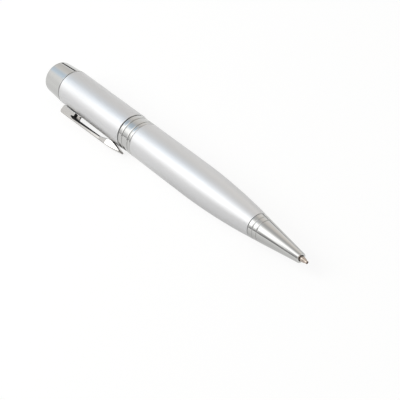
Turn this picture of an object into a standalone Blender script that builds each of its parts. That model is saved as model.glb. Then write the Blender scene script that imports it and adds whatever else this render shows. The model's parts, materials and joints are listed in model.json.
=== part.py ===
"""Twist ballpoint pen whose rear half pulls off and plugs in as a memory drive.

Lengths are in metres. In the pen's own frame Z runs along the axis from the flat
rear face to the writing ball, X points at the clip and Y runs across the flat plug.
The pen lies on its barrel and on one edge of its clip, with the ball towards world +X.
"""
import math

import bmesh
import bpy
from mathutils import Matrix

# Facets around a turned piece, and the distances under which points merge
SIDES = 48
INNER_SIDES = 32
SMALL_SIDES = 24
SADDLE_SIDES = 96
MERGE = 0.00001
WELD = 0.000001
SMOOTH_ANGLE = math.radians(32)

# Points on small arcs and along free curves
ARC_STEPS = 3
BIG_ARC_STEPS = 5
GRIP_STEPS = 12
GRIP_BORE_STEPS = 8
CLIP_STEPS = 6
BALL_STEPS = (16, 10)

# Clearances: slip fit between nested pieces, visible seam, soldered or glued joint
FIT = 0.00025
SEAM = 0.00015
BOND = 0.0001
EDGE = 0.00012

# Drive plug, a type A shell with its tongue and four contacts
PLUG_WIDTH = 0.0120
PLUG_HEIGHT = 0.0045
PLUG_CORNER = 0.0006
PLUG_SHELL = 0.0003
PLUG_EXPOSED = 0.0120
PLUG_SEAT = 0.0056
PLUG_WINDOW_WIDTH = 0.0024
PLUG_WINDOW_LENGTH = 0.0020
PLUG_WINDOW_SETBACK = 0.0052
PLUG_WINDOW_PITCH = 0.0052
TONGUE_SETBACK = 0.0006
TONGUE_BEVEL = 0.00015
CONTACT_PITCHES = (-0.0035, -0.0010, 0.0010, 0.0035)
CONTACT_WIDTH = 0.0010
CONTACT_THICKNESS = 0.00025
CONTACT_SETBACK = 0.0010
CONTACT_TAIL = 0.0012

# Walls and steps that set the pen's radii around the plug
RING_WALL = 0.00056
GRIP_WALL = 0.00051
SEAM_STEP = 0.00015
BARREL_WALL = 0.00065

# Lengths along the axis
CAP_LENGTH = 0.0110
BARREL_LENGTH = 0.03985
RING_BANDS = (0.0021, 0.0032, 0.0015)
RING_GROOVE_WIDTH = 0.00028
RING_GROOVE_DEPTH = 0.0003
GRIP_LENGTH = 0.0650
GRIP_TAPER = 0.0360
NOSE_LENGTH = 0.0222
NOSE_BANDS = (0.0018, 0.0017)
NOSE_GROOVE_WIDTH = 0.00025
NOSE_GROOVE_DEPTH = 0.00025
BALL_REACH = 0.00325

# Rear cap and the bush that joins it to the barrel
CAP_REAR_RADIUS = 0.00655
CAP_ROUND = 0.0012
CAP_WALL = 0.0010
CAP_END_WALL = 0.0016
BUSH_IN_CAP = 0.0075
BUSH_IN_BARREL = 0.0026
BUSH_WALL = 0.0012

# Clip, measured along the axis from its rear end and outwards from the barrel
CLIP_SETBACK = 0.00315
CLIP_LENGTH = 0.0381
CLIP_WIDTH = 0.0040
CLIP_TIP_WIDTH = 0.0030
CLIP_FOOT = 0.0082
CLIP_HEIGHT = 0.0032
CLIP_LEAN = 0.02
CLIP_BAR = 0.00145
CLIP_HEEL = 0.0011
CLIP_FILLET = 0.0008
CLIP_SLIT = 0.0004
CLIP_SLIT_DEPTH = 0.0030
CLIP_SPOON = 0.0300
CLIP_SPOON_DROP = 0.00083
CLIP_TOUCH = 0.0320
CLIP_SWELL = 0.0065
CLIP_TIP_HEIGHT = 0.0011
CLIP_TIP_ROUND = 0.0009
CLIP_TIP_CURVE = 1.5
CLIP_BEVEL = 0.00025
RIVET_SETBACK = 0.0027
RIVET_RADIUS = 0.0007
RIVET_HEAD_RADIUS = 0.0012
RIVET_HEAD = 0.0006
RIVET_LENGTH = 0.0012

# Drive electronics between two half-round carriers
CARRIER_BEHIND_RIVET = 0.0060
BOARD_MARGIN = 0.0012
BOARD_THICKNESS = 0.0008
BOARD_IN_PLUG = 0.0015
MEMORY_SIZE = (0.0010, 0.0090, 0.0120)
CONTROLLER_SIZE = (0.0009, 0.0060, 0.0060)
CRYSTAL_SIZE = (0.0008, 0.0025, 0.0032)
CHIP_SPACING = 0.0016
CHIP_BEVEL = 0.00012

# Twist mechanism: socket, cam, guide and the refill's carrier
SOCKET_FLOOR = 0.0020
HUB_RADIUS = 0.0033
HUB_LENGTH = 0.0035
CAM_WALL = 0.0010
CAM_FLANGE = 0.0008
GUIDE_FRONT_WALL = 0.0020
GUIDE_BORE_GAP = 0.0003
STROKE = 0.0050
TWIST = math.pi
PIN_RADIUS = 0.0006
PIN_FROM_HUB = 0.0108
PIN_ROOT = 0.0012
PIN_HOLD = 0.0009
PISTON_BEHIND_PIN = 0.0020
PISTON_AHEAD_OF_PIN = 0.0022
CAM_AHEAD_OF_PIN = 0.0035
CHUCK_RADIUS = 0.00235
CHUCK_REACH = 0.0103
HELIX_STEPS = 30

# Refill, with distances on its point taken back from the ball's end
REFILL_RADIUS = 0.001175
REFILL_WALL = 0.0003
POINT_LENGTH = 0.0080
POINT_COLLAR = 0.0010
POINT_RADIUS = 0.00095
POINT_CONE = 0.0023
SHOULDER_RADIUS = 0.00080
SHOULDER_REACH = 0.0014
NECK_RADIUS = 0.00056
NECK_REACH = 0.0011
RIM_RADIUS = 0.00053
BALL_RADIUS = 0.00035
BALL_SHOWN = 0.0003

# Nose
NOSE_RADIUS = 0.00472
NOSE_TIP_RADIUS = 0.00187
NOSE_LIP = 0.0002
NOSE_SPIGOT = 0.0070
NOSE_BORE = 0.0026
NOSE_GUIDE = 0.0085
NOSE_MOUTH = 0.0032
GRIP_FRONT_WALL = 0.00085

# Radii worked out from the plug outwards
PLUG_REACH = PLUG_CORNER + math.hypot(PLUG_WIDTH / 2 - PLUG_CORNER, PLUG_HEIGHT / 2 - PLUG_CORNER)
SOCKET_BORE = PLUG_REACH + FIT
RING_RADIUS = SOCKET_BORE + RING_WALL
GRIP_RADIUS = SOCKET_BORE + GRIP_WALL
BARREL_RADIUS = RING_RADIUS + SEAM_STEP
BARREL_BORE = BARREL_RADIUS - BARREL_WALL
SOCKET_RADIUS = SOCKET_BORE - FIT
CAM_BORE = HUB_RADIUS + FIT
CAM_RADIUS = CAM_BORE + CAM_WALL
GUIDE_BORE = CAM_RADIUS + GUIDE_BORE_GAP
GRIP_FRONT_BORE = NOSE_RADIUS - GRIP_FRONT_WALL
NOSE_GUIDE_BORE = REFILL_RADIUS + FIT
NOSE_MOUTH_BORE = POINT_RADIUS + FIT
SLOT_HALF_WIDTH = PIN_RADIUS + FIT

# Stations along the axis, from the rear face
BARREL_START = CAP_LENGTH + 2 * SEAM
BARREL_END = BARREL_START + BARREL_LENGTH
RING_START = BARREL_END + 2 * SEAM
RING_LENGTH = sum(RING_BANDS) + RING_GROOVE_WIDTH * (len(RING_BANDS) - 1)
GRIP_START = RING_START + RING_LENGTH + SEAM
GRIP_END = GRIP_START + GRIP_LENGTH
NOSE_START = GRIP_END + SEAM
NOSE_END = NOSE_START + NOSE_LENGTH
PEN_LENGTH = NOSE_END + BALL_REACH
PLUG_START = BARREL_END - PLUG_SEAT
PLUG_END = BARREL_END + PLUG_EXPOSED
SOCKET_STEP = PLUG_END + FIT
SOCKET_END = SOCKET_STEP + SOCKET_FLOOR
HUB_END = SOCKET_END + HUB_LENGTH
PIN_STATION = HUB_END + PIN_FROM_HUB
REFILL_START = PIN_STATION + PISTON_AHEAD_OF_PIN
CAM_END = PIN_STATION + CAM_AHEAD_OF_PIN
GUIDE_START = SOCKET_END + CAM_FLANGE + 2 * FIT
GUIDE_WALL_START = CAM_END + 2 * FIT
GUIDE_END = GUIDE_WALL_START + GUIDE_FRONT_WALL
CHUCK_END = REFILL_START + CHUCK_REACH
CLIP_START = BARREL_START + CLIP_SETBACK
CLIP_END = CLIP_START + CLIP_LENGTH
CLIP_FOOT_END = CLIP_START + CLIP_FOOT
CLIP_SPOON_START = CLIP_START + CLIP_SPOON
CLIP_TOUCH_STATION = CLIP_START + CLIP_TOUCH
RIVET_STATION = CLIP_START + RIVET_SETBACK
CARRIER_START = RIVET_STATION + CARRIER_BEHIND_RIVET
CARRIER_END = BARREL_END - FIT
BOARD_START = CARRIER_START + BOARD_MARGIN
BOARD_END = PLUG_START + BOARD_IN_PLUG

# How the pen lies: the clip's lower outer corner and a barrel facet share the floor
CLIP_FACE = BARREL_RADIUS + CLIP_HEIGHT
AXIS_HEIGHT = BARREL_RADIUS * math.cos(math.pi / SIDES)
CLIP_DROOP = (math.asin(AXIS_HEIGHT / math.hypot(CLIP_FACE, CLIP_WIDTH / 2))
              - math.atan2(CLIP_WIDTH / 2, CLIP_FACE))
CLIP_SIDE_REACH = CLIP_FACE * math.cos(CLIP_DROOP) + CLIP_WIDTH / 2 * math.sin(CLIP_DROOP)
AXIS_SIDE = (CLIP_SIDE_REACH - AXIS_HEIGHT) / 2
FACET_TURN = math.pi / 2 - CLIP_DROOP - math.pi / SIDES

# Finishes: base colour, metallic, roughness
FINISHES = {
    "satin_silver_lacquer": ((0.58, 0.59, 0.60), 0.75, 0.34),
    "chrome_plate": ((0.80, 0.81, 0.82), 1.0, 0.08),
    "plated_shell": ((0.72, 0.72, 0.71), 1.0, 0.22),
    "gold_contact": ((0.83, 0.62, 0.25), 1.0, 0.25),
    "brass": ((0.72, 0.53, 0.26), 1.0, 0.30),
    "ball_carbide": ((0.16, 0.15, 0.15), 1.0, 0.25),
    "black_plastic": ((0.022, 0.022, 0.024), 0.0, 0.45),
    "ivory_acetal": ((0.76, 0.74, 0.68), 0.0, 0.50),
    "board_laminate": ((0.02, 0.16, 0.07), 0.0, 0.45),
    "chip_epoxy": ((0.03, 0.03, 0.032), 0.0, 0.60),
}


def clear_scene():
    for old in list(bpy.data.objects):
        bpy.data.objects.remove(old)


def make_collection(name):
    collection = bpy.data.collections.new(name)
    bpy.context.scene.collection.children.link(collection)
    return collection


def make_finish(name):
    colour, metallic, roughness = FINISHES[name]
    material = bpy.data.materials.new(name)
    material.use_nodes = True
    shader = material.node_tree.nodes["Principled BSDF"]
    shader.inputs["Base Color"].default_value = (*colour, 1.0)
    shader.inputs["Metallic"].default_value = metallic
    shader.inputs["Roughness"].default_value = roughness
    return material


def make_empty(name, parent=None, place=(0, 0, 0)):
    empty = bpy.data.objects.new(name, None)
    empty.empty_display_size = BARREL_RADIUS
    empty.parent = parent
    empty.location = place
    PARTS.objects.link(empty)
    return empty


def add_piece(name, mesh, finish, carrier):
    """A named piece, modelled in the pen's frame and carried by an empty."""
    piece = bpy.data.objects.new(name, mesh)
    PARTS.objects.link(piece)
    piece.data.materials.append(MATERIALS[finish])
    piece.parent = carrier
    if carrier is not PEN_AXIS:
        piece.location = -carrier.location
    return piece


def add_cutter(name, mesh, carrier):
    cutter = bpy.data.objects.new(name, mesh)
    CUTTERS.objects.link(cutter)
    cutter.parent = carrier
    if carrier is not PEN_AXIS:
        cutter.location = -carrier.location
    cutter.hide_render = True
    cutter.display_type = "WIRE"
    return cutter


def cut(piece, cutter):
    boolean = piece.modifiers.new("cut_" + cutter.name, "BOOLEAN")
    boolean.operation = "DIFFERENCE"
    boolean.solver = "EXACT"
    boolean.object = cutter


def arc(centre, radius, start, end, segments):
    """Points of an arc in the profile plane, angles from outwards towards the ball."""
    points = []
    for step in range(segments + 1):
        angle = start + (end - start) * step / segments
        points.append((centre[0] + radius * math.cos(angle), centre[1] + radius * math.sin(angle)))
    return points


def profile_mesh(name, inner, outer):
    """Profile of a turned piece: up the bore from the rear, then down the outside."""
    points = inner + outer[::-1]
    mesh = bpy.data.meshes.new(name)
    edges = [(i, i + 1) for i in range(len(points) - 1)]
    if points[0][0] > 0:
        edges.append((len(points) - 1, 0))
    mesh.from_pydata([(radius, 0, station) for radius, station in points], edges, [])
    return mesh


def turn(piece, sides):
    screw = piece.modifiers.new("turned", "SCREW")
    screw.axis = "Z"
    screw.angle = 2 * math.pi
    screw.steps = sides
    screw.render_steps = sides
    screw.use_merge_vertices = True
    screw.merge_threshold = MERGE
    return piece


def turned(name, inner, outer, finish, carrier, sides=SIDES):
    """A turned piece, set so that one of its facets lies towards the floor."""
    piece = turn(add_piece(name, profile_mesh(name, inner, outer), finish, carrier), sides)
    piece.rotation_euler[2] = FACET_TURN + math.pi / SIDES - math.pi / sides
    return piece


def box_mesh(name, low, high, bevel=0.0):
    bm = bmesh.new()
    bmesh.ops.create_cube(bm, size=1.0)
    size = [b - a for a, b in zip(low, high)]
    middle = [(a + b) / 2 for a, b in zip(low, high)]
    bmesh.ops.transform(bm, matrix=Matrix.LocRotScale(middle, None, size), verts=bm.verts)
    if bevel:
        bmesh.ops.bevel(bm, geom=bm.edges[:], offset=bevel, segments=1, affect="EDGES")
    mesh = bpy.data.meshes.new(name)
    bm.to_mesh(mesh)
    bm.free()
    return mesh


def rod_mesh(name, radius, start, end, sides=SMALL_SIDES):
    """A round rod along X, from start to end."""
    bm = bmesh.new()
    bmesh.ops.create_cone(bm, cap_ends=True, segments=sides, radius1=radius, radius2=radius,
                          depth=end - start)
    place = Matrix.Translation(((start + end) / 2, 0, 0)) @ Matrix.Rotation(math.pi / 2, 4, "Y")
    bmesh.ops.transform(bm, matrix=place, verts=bm.verts)
    mesh = bpy.data.meshes.new(name)
    bm.to_mesh(mesh)
    bm.free()
    return mesh


def outline_mesh(name, outline, thickness, ease=0.0):
    """A flat outline in XY, extruded along Z to a thickness, with its edges eased."""
    curve = bpy.data.curves.new(name, "CURVE")
    curve.dimensions = "2D"
    curve.fill_mode = "BOTH"
    curve.extrude = thickness / 2 - ease
    curve.offset = -ease
    curve.bevel_depth = ease
    curve.bevel_resolution = 1
    spline = curve.splines.new("POLY")
    spline.points.add(len(outline) - 1)
    for point, (x, y) in zip(spline.points, outline):
        point.co = (x, y, 0, 1)
    spline.use_cyclic_u = True
    holder = bpy.data.objects.new(name, curve)
    CUTTERS.objects.link(holder)
    graph = bpy.context.evaluated_depsgraph_get()
    mesh = bpy.data.meshes.new_from_object(holder.evaluated_get(graph))
    bpy.data.objects.remove(holder)
    bpy.data.curves.remove(curve)
    bm = bmesh.new()
    bm.from_mesh(mesh)
    bmesh.ops.remove_doubles(bm, verts=bm.verts, dist=WELD)
    bmesh.ops.recalc_face_normals(bm, faces=bm.faces)
    bm.to_mesh(mesh)
    bm.free()
    return mesh


def rounded_rectangle(height, width, corner):
    points = []
    for quarter, (x, y) in enumerate(((1, 1), (-1, 1), (-1, -1), (1, -1))):
        centre = (x * (height / 2 - corner), y * (width / 2 - corner))
        start = quarter * math.pi / 2
        points += arc(centre, corner, start, start + math.pi / 2, ARC_STEPS)
    return points


def settle(piece):
    """Keep the evaluated solid as the piece's mesh, smooth apart from its real edges."""
    graph = bpy.context.evaluated_depsgraph_get()
    mesh = bpy.data.meshes.new_from_object(piece.evaluated_get(graph))
    mesh.name = piece.name
    piece.modifiers.clear()
    piece.data = mesh
    mesh.shade_smooth()
    mesh.set_sharp_from_angle(angle=SMOOTH_ANGLE)


def bands(radius_at, start, lengths, gap, depth):
    """Raised bands with rounded shoulders, parted by square grooves."""
    points = []
    station = start
    for length in lengths:
        rear = (radius_at(station) - depth, station + depth)
        front = (radius_at(station + length) - depth, station + length - depth)
        points += arc(rear, depth, -math.pi / 2, 0, ARC_STEPS)
        points += arc(front, depth, 0, math.pi / 2, ARC_STEPS)
        station += length + gap
    return points, station


def make_rear_cap(carrier):
    cap_bore = CAP_REAR_RADIUS - CAP_WALL
    outer = [(0, 0)]
    outer += arc((CAP_REAR_RADIUS - CAP_ROUND, CAP_ROUND), CAP_ROUND, -math.pi / 2, 0, BIG_ARC_STEPS)
    outer += [(BARREL_RADIUS, CAP_LENGTH - EDGE), (BARREL_RADIUS - EDGE, CAP_LENGTH)]
    inner = [(0, CAP_END_WALL), (cap_bore, CAP_END_WALL), (cap_bore, CAP_LENGTH)]
    turned("rear_cap", inner, outer, "chrome_plate", carrier)
    bush_in_cap = cap_bore - FIT
    bush_in_barrel = BARREL_BORE - FIT
    bush_bore = bush_in_cap - BUSH_WALL
    rear = CAP_LENGTH - BUSH_IN_CAP
    step = BARREL_START + FIT
    front = BARREL_START + BUSH_IN_BARREL
    turned("cap_bush", [(bush_bore, rear), (bush_bore, front)],
           [(bush_in_cap, rear), (bush_in_cap, step), (bush_in_barrel, step), (bush_in_barrel, front)],
           "brass", carrier, INNER_SIDES)


def make_upper_barrel(carrier):
    outer = [(BARREL_RADIUS - EDGE, BARREL_START), (BARREL_RADIUS, BARREL_START + EDGE),
             (BARREL_RADIUS, BARREL_END - EDGE), (BARREL_RADIUS - EDGE, BARREL_END)]
    inner = [(BARREL_BORE, BARREL_START), (BARREL_BORE, BARREL_END)]
    barrel = turned("upper_barrel", inner, outer, "satin_silver_lacquer", carrier)
    hole = rod_mesh("rivet_hole", RIVET_RADIUS + FIT, BARREL_BORE / 2, CLIP_FACE)
    hole.transform(Matrix.Translation((0, 0, RIVET_STATION)))
    cut(barrel, add_cutter("rivet_hole", hole, carrier))


def make_centre_ring(carrier):
    outer, _ = bands(lambda station: RING_RADIUS, RING_START, RING_BANDS, RING_GROOVE_WIDTH,
                     RING_GROOVE_DEPTH)
    ring_end = RING_START + RING_LENGTH
    inner = [(SOCKET_BORE, RING_START), (SOCKET_BORE, ring_end)]
    turned("centre_ring", inner, outer, "chrome_plate", carrier)


def grip_curve(rear_radius, front_radius, start, end, count):
    """Bullet curve: level at the rear, steepest where it meets the nose."""
    points = []
    for step in range(count + 1):
        share = step / count
        points.append((rear_radius - (rear_radius - front_radius) * share ** 2,
                       start + (end - start) * share))
    return points


def make_lower_barrel(carrier):
    taper_start = GRIP_END - GRIP_TAPER
    spigot_floor = GRIP_END - NOSE_SPIGOT - FIT
    outer = [(GRIP_RADIUS - EDGE, GRIP_START), (GRIP_RADIUS, GRIP_START + EDGE)]
    outer += grip_curve(GRIP_RADIUS, NOSE_RADIUS, taper_start, GRIP_END - EDGE, GRIP_STEPS)
    outer.append((NOSE_RADIUS - EDGE, GRIP_END))
    inner = [(SOCKET_BORE, GRIP_START)]
    inner += grip_curve(SOCKET_BORE, GRIP_FRONT_BORE, taper_start, spigot_floor, GRIP_BORE_STEPS)
    inner.append((GRIP_FRONT_BORE, GRIP_END))
    turned("lower_barrel", inner, outer, "satin_silver_lacquer", carrier)


def make_nose_cone(carrier):
    slope = (NOSE_RADIUS - NOSE_TIP_RADIUS) / NOSE_LENGTH
    spigot = GRIP_FRONT_BORE - FIT
    spigot_start = NOSE_START - NOSE_SPIGOT

    def cone(station):
        return NOSE_RADIUS - slope * (station - NOSE_START)

    outer = [(spigot, spigot_start), (spigot, NOSE_START)]
    band_points, cone_start = bands(cone, NOSE_START, NOSE_BANDS, NOSE_GROOVE_WIDTH, NOSE_GROOVE_DEPTH)
    outer += band_points
    rear = (cone(cone_start) - NOSE_GROOVE_DEPTH, cone_start + NOSE_GROOVE_DEPTH)
    outer += arc(rear, NOSE_GROOVE_DEPTH, -math.pi / 2, 0, ARC_STEPS)
    outer += arc((NOSE_TIP_RADIUS - NOSE_LIP, NOSE_END - NOSE_LIP), NOSE_LIP, 0, math.pi / 2, ARC_STEPS)
    inner = [(NOSE_BORE, spigot_start), (NOSE_GUIDE_BORE, NOSE_END - NOSE_GUIDE),
             (NOSE_GUIDE_BORE, NOSE_END - NOSE_MOUTH), (NOSE_MOUTH_BORE, NOSE_END - NOSE_MOUTH),
             (NOSE_MOUTH_BORE, NOSE_END)]
    turned("nose_cone", inner, outer, "chrome_plate", carrier)


def make_plug_socket(carrier):
    """Two cheeks that grip the plug's flats, on a floor with a hub for the cam."""
    outer = [(0, RING_START), (SOCKET_RADIUS, RING_START), (SOCKET_RADIUS, SOCKET_END),
             (HUB_RADIUS, SOCKET_END), (HUB_RADIUS, HUB_END), (0, HUB_END)]
    socket = turned("plug_socket", [], outer, "black_plastic", carrier, INNER_SIDES)
    half = PLUG_HEIGHT / 2 + FIT
    slot = box_mesh("plug_slot", (-half, -2 * SOCKET_RADIUS, RING_START - SOCKET_FLOOR),
                    (half, 2 * SOCKET_RADIUS, SOCKET_STEP))
    cut(socket, add_cutter("plug_slot", slot, carrier))


def helical_slot(name, carrier):
    """Sweep of the cam slot: a full twist draws the pin back by the whole stroke."""
    middle = (CAM_BORE + CAM_RADIUS) / 2
    spare = SLOT_HALF_WIDTH / middle
    turn_angle = TWIST + 2 * spare
    rise = -STROKE * turn_angle / TWIST
    bm = bmesh.new()
    bmesh.ops.create_grid(bm, x_segments=1, y_segments=1, size=0.5)
    section = (Matrix.Translation((middle, 0, 0)) @ Matrix.Rotation(math.pi / 2, 4, "X")
               @ Matrix.Diagonal((2 * CAM_WALL, 2 * SLOT_HALF_WIDTH, 1, 1)))
    bmesh.ops.transform(bm, matrix=section, verts=bm.verts)
    bmesh.ops.spin(bm, geom=bm.verts[:] + bm.edges[:] + bm.faces[:], axis=(0, 0, 1), cent=(0, 0, 0),
                   dvec=(0, 0, rise / HELIX_STEPS), angle=turn_angle, steps=HELIX_STEPS)
    bmesh.ops.holes_fill(bm, edges=bm.edges)
    start = (Matrix.Translation((0, 0, PIN_STATION + STROKE * spare / TWIST))
             @ Matrix.Rotation(math.pi - spare, 4, "Z"))
    bmesh.ops.transform(bm, matrix=start, verts=bm.verts)
    bmesh.ops.recalc_face_normals(bm, faces=bm.faces)
    mesh = bpy.data.meshes.new(name)
    bm.to_mesh(mesh)
    bm.free()
    return add_cutter(name, mesh, carrier)


def make_cam_sleeve(carrier):
    rear = SOCKET_END + FIT
    flange_end = rear + CAM_FLANGE
    outer = [(SOCKET_RADIUS, rear), (SOCKET_RADIUS, flange_end), (CAM_RADIUS, flange_end),
             (CAM_RADIUS, CAM_END)]
    cam = turned("cam_sleeve", [(CAM_BORE, rear), (CAM_BORE, CAM_END)], outer, "brass", carrier,
                 INNER_SIDES)
    cut(cam, helical_slot("helical_slot", carrier))


def make_guide_tube(carrier):
    """Fixed tube whose straight slot keeps the pin from turning with the cam."""
    outside = SOCKET_BORE - FIT
    inner = [(GUIDE_BORE, GUIDE_START), (GUIDE_BORE, GUIDE_WALL_START),
             (CHUCK_RADIUS + FIT, GUIDE_WALL_START), (CHUCK_RADIUS + FIT, GUIDE_END)]
    outer = [(outside, GUIDE_START), (outside, GUIDE_END)]
    guide = turned("guide_tube", inner, outer, "ivory_acetal", carrier, INNER_SIDES)
    slot = box_mesh("guide_slot",
                    (-2 * outside, -SLOT_HALF_WIDTH, PIN_STATION - STROKE - SLOT_HALF_WIDTH),
                    (-CAM_RADIUS, SLOT_HALF_WIDTH, PIN_STATION + SLOT_HALF_WIDTH))
    cut(guide, add_cutter("guide_slot", slot, carrier))


def make_refill_carrier(carrier):
    piston = CAM_BORE - FIT
    rear = PIN_STATION - PISTON_BEHIND_PIN
    shoulder = REFILL_START + FIT
    bore = REFILL_RADIUS + FIT
    floor = REFILL_START - FIT
    outer = [(0, rear), (piston, rear), (piston, shoulder), (CHUCK_RADIUS, shoulder),
             (CHUCK_RADIUS, CHUCK_END)]
    inner = [(0, floor), (bore, floor), (bore, CHUCK_END)]
    chuck = turned("refill_carrier", inner, outer, "ivory_acetal", carrier, SMALL_SIDES)
    hole = rod_mesh("pin_hole", PIN_RADIUS + BOND, -2 * CAM_RADIUS, -PIN_ROOT + BOND)
    hole.transform(Matrix.Translation((0, 0, PIN_STATION)))
    cut(chuck, add_cutter("pin_hole", hole, carrier))
    pin = rod_mesh("follower_pin", PIN_RADIUS, -GUIDE_BORE - PIN_HOLD, -PIN_ROOT)
    pin.transform(Matrix.Translation((0, 0, PIN_STATION)))
    add_piece("follower_pin", pin, "plated_shell", carrier)


def make_refill(carrier):
    point_start = PEN_LENGTH - POINT_LENGTH
    collar_end = point_start + POINT_COLLAR
    rim = PEN_LENGTH - BALL_SHOWN
    cup = BALL_RADIUS + BOND
    cup_floor = PEN_LENGTH - 2 * BALL_RADIUS - BOND
    bore = REFILL_RADIUS - REFILL_WALL
    turned("refill_tube", [(bore, REFILL_START), (bore, point_start - BOND)],
           [(REFILL_RADIUS, REFILL_START), (REFILL_RADIUS, point_start - BOND)],
           "plated_shell", carrier, SMALL_SIDES)
    outer = [(0, point_start), (REFILL_RADIUS, point_start), (REFILL_RADIUS, collar_end),
             (POINT_RADIUS, collar_end), (POINT_RADIUS, PEN_LENGTH - POINT_CONE),
             (SHOULDER_RADIUS, PEN_LENGTH - SHOULDER_REACH), (NECK_RADIUS, PEN_LENGTH - NECK_REACH),
             (RIM_RADIUS, rim)]
    inner = [(0, cup_floor), (cup, cup_floor), (cup, rim)]
    turned("refill_tip", inner, outer, "brass", carrier, SMALL_SIDES)
    bm = bmesh.new()
    bmesh.ops.create_uvsphere(bm, u_segments=BALL_STEPS[0], v_segments=BALL_STEPS[1], radius=BALL_RADIUS,
                              matrix=Matrix.Translation((0, 0, PEN_LENGTH - BALL_RADIUS)))
    ball = bpy.data.meshes.new("writing_ball")
    bm.to_mesh(ball)
    bm.free()
    add_piece("writing_ball", ball, "ball_carbide", carrier)


def clip_top(station):
    """Outer face of the clip: leaning in along the bar, curving down along the spoon."""
    spoon = max(station - CLIP_SPOON_START, 0) / (CLIP_LENGTH - CLIP_SPOON)
    lean = CLIP_LEAN * (station - CLIP_START - CLIP_HEEL)
    return BARREL_RADIUS + CLIP_HEIGHT - lean - CLIP_SPOON_DROP * spoon ** 2


def clip_outline():
    """Side view of the clip as (outwards, along): foot, bar, swell and turned-out spoon."""
    heel_station = CLIP_START + CLIP_HEEL
    tip_station = CLIP_END - CLIP_TIP_ROUND
    tip_out = BARREL_RADIUS + CLIP_TIP_HEIGHT
    swell_start = CLIP_TOUCH_STATION - CLIP_SWELL
    bar_rise = clip_top(swell_start) - CLIP_BAR - BARREL_RADIUS
    fillet_station = CLIP_FOOT_END + CLIP_FILLET
    bar_under = clip_top(fillet_station) - CLIP_BAR
    sunk = BARREL_RADIUS - FIT
    outline = [(sunk, CLIP_START)]
    outline += arc((CLIP_FACE - CLIP_HEEL, heel_station), CLIP_HEEL, -math.pi / 2, 0, BIG_ARC_STEPS)
    for step in range(CLIP_STEPS + 1):
        station = CLIP_SPOON_START + (tip_station - CLIP_SPOON_START) * step / CLIP_STEPS
        outline.append((clip_top(station), station))
    tip_depth = clip_top(tip_station) - tip_out
    for step in range(1, ARC_STEPS + 1):
        angle = math.pi / 2 * step / ARC_STEPS
        outline.append((tip_out + tip_depth * math.cos(angle),
                        tip_station + CLIP_TIP_ROUND * math.sin(angle)))
    for step in range(1, CLIP_STEPS + 1):
        share = 1 - step / CLIP_STEPS
        outline.append((BARREL_RADIUS + CLIP_TIP_HEIGHT * share ** CLIP_TIP_CURVE,
                        CLIP_TOUCH_STATION + (CLIP_END - CLIP_TOUCH_STATION) * share))
    for step in range(1, CLIP_STEPS + 1):
        share = step / CLIP_STEPS
        rise = share * share * (3 - 2 * share)
        outline.append((BARREL_RADIUS + bar_rise * rise, CLIP_TOUCH_STATION - CLIP_SWELL * share))
    outline += arc((bar_under - CLIP_FILLET, fillet_station), CLIP_FILLET, 0, -math.pi / 2, BIG_ARC_STEPS)
    outline.append((sunk, CLIP_FOOT_END))
    return outline


def make_clip(carrier):
    mesh = outline_mesh("clip", clip_outline(), CLIP_WIDTH, CLIP_BEVEL)
    mesh.transform(Matrix.Rotation(math.pi / 2, 4, "X"))
    bm = bmesh.new()
    bm.from_mesh(mesh)
    bmesh.ops.bisect_plane(bm, geom=bm.verts[:] + bm.edges[:] + bm.faces[:], dist=MERGE,
                           plane_co=(0, 0, CLIP_SPOON_START), plane_no=(0, 0, 1))
    for vertex in bm.verts:
        share = max(vertex.co.z - CLIP_SPOON_START, 0) / (CLIP_LENGTH - CLIP_SPOON)
        vertex.co.y *= 1 - share * (1 - CLIP_TIP_WIDTH / CLIP_WIDTH)
    bm.to_mesh(mesh)
    bm.free()
    clip = add_piece("clip", mesh, "chrome_plate", carrier)
    saddle = add_cutter("clip_saddle", profile_mesh("clip_saddle", [], [
        (0, CAP_LENGTH), (BARREL_RADIUS + FIT, CAP_LENGTH),
        (BARREL_RADIUS + FIT, GRIP_END), (0, GRIP_END)]), carrier)
    cut(clip, turn(saddle, SADDLE_SIDES))
    slit_top = clip_top(CLIP_FOOT_END) - CLIP_BAR
    slit = box_mesh("relief_slit", (slit_top - CLIP_SLIT, -CLIP_WIDTH, CLIP_FOOT_END - CLIP_SLIT_DEPTH),
                    (slit_top, CLIP_WIDTH, CLIP_FOOT_END + CLIP_FILLET))
    cut(clip, add_cutter("relief_slit", slit, carrier))
    stud_hole = rod_mesh("stud_hole", RIVET_RADIUS + BOND, 0, BARREL_RADIUS + RIVET_LENGTH + BOND)
    stud_hole.transform(Matrix.Translation((0, 0, RIVET_STATION)))
    cut(clip, add_cutter("stud_hole", stud_hole, carrier))


def make_clip_rivet(carrier):
    """Stud up into the clip's foot, with its head inside the barrel."""
    head_top = BARREL_BORE - 2 * FIT
    outer = [(0, head_top - RIVET_HEAD), (RIVET_HEAD_RADIUS, head_top - RIVET_HEAD),
             (RIVET_HEAD_RADIUS, head_top), (RIVET_RADIUS, head_top),
             (RIVET_RADIUS, BARREL_RADIUS + RIVET_LENGTH), (0, BARREL_RADIUS + RIVET_LENGTH)]
    rivet = turn(add_piece("clip_rivet", profile_mesh("clip_rivet", [], outer), "plated_shell",
                           carrier), SMALL_SIDES)
    rivet.rotation_euler[1] = math.pi / 2
    rivet.location.z += RIVET_STATION


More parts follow.
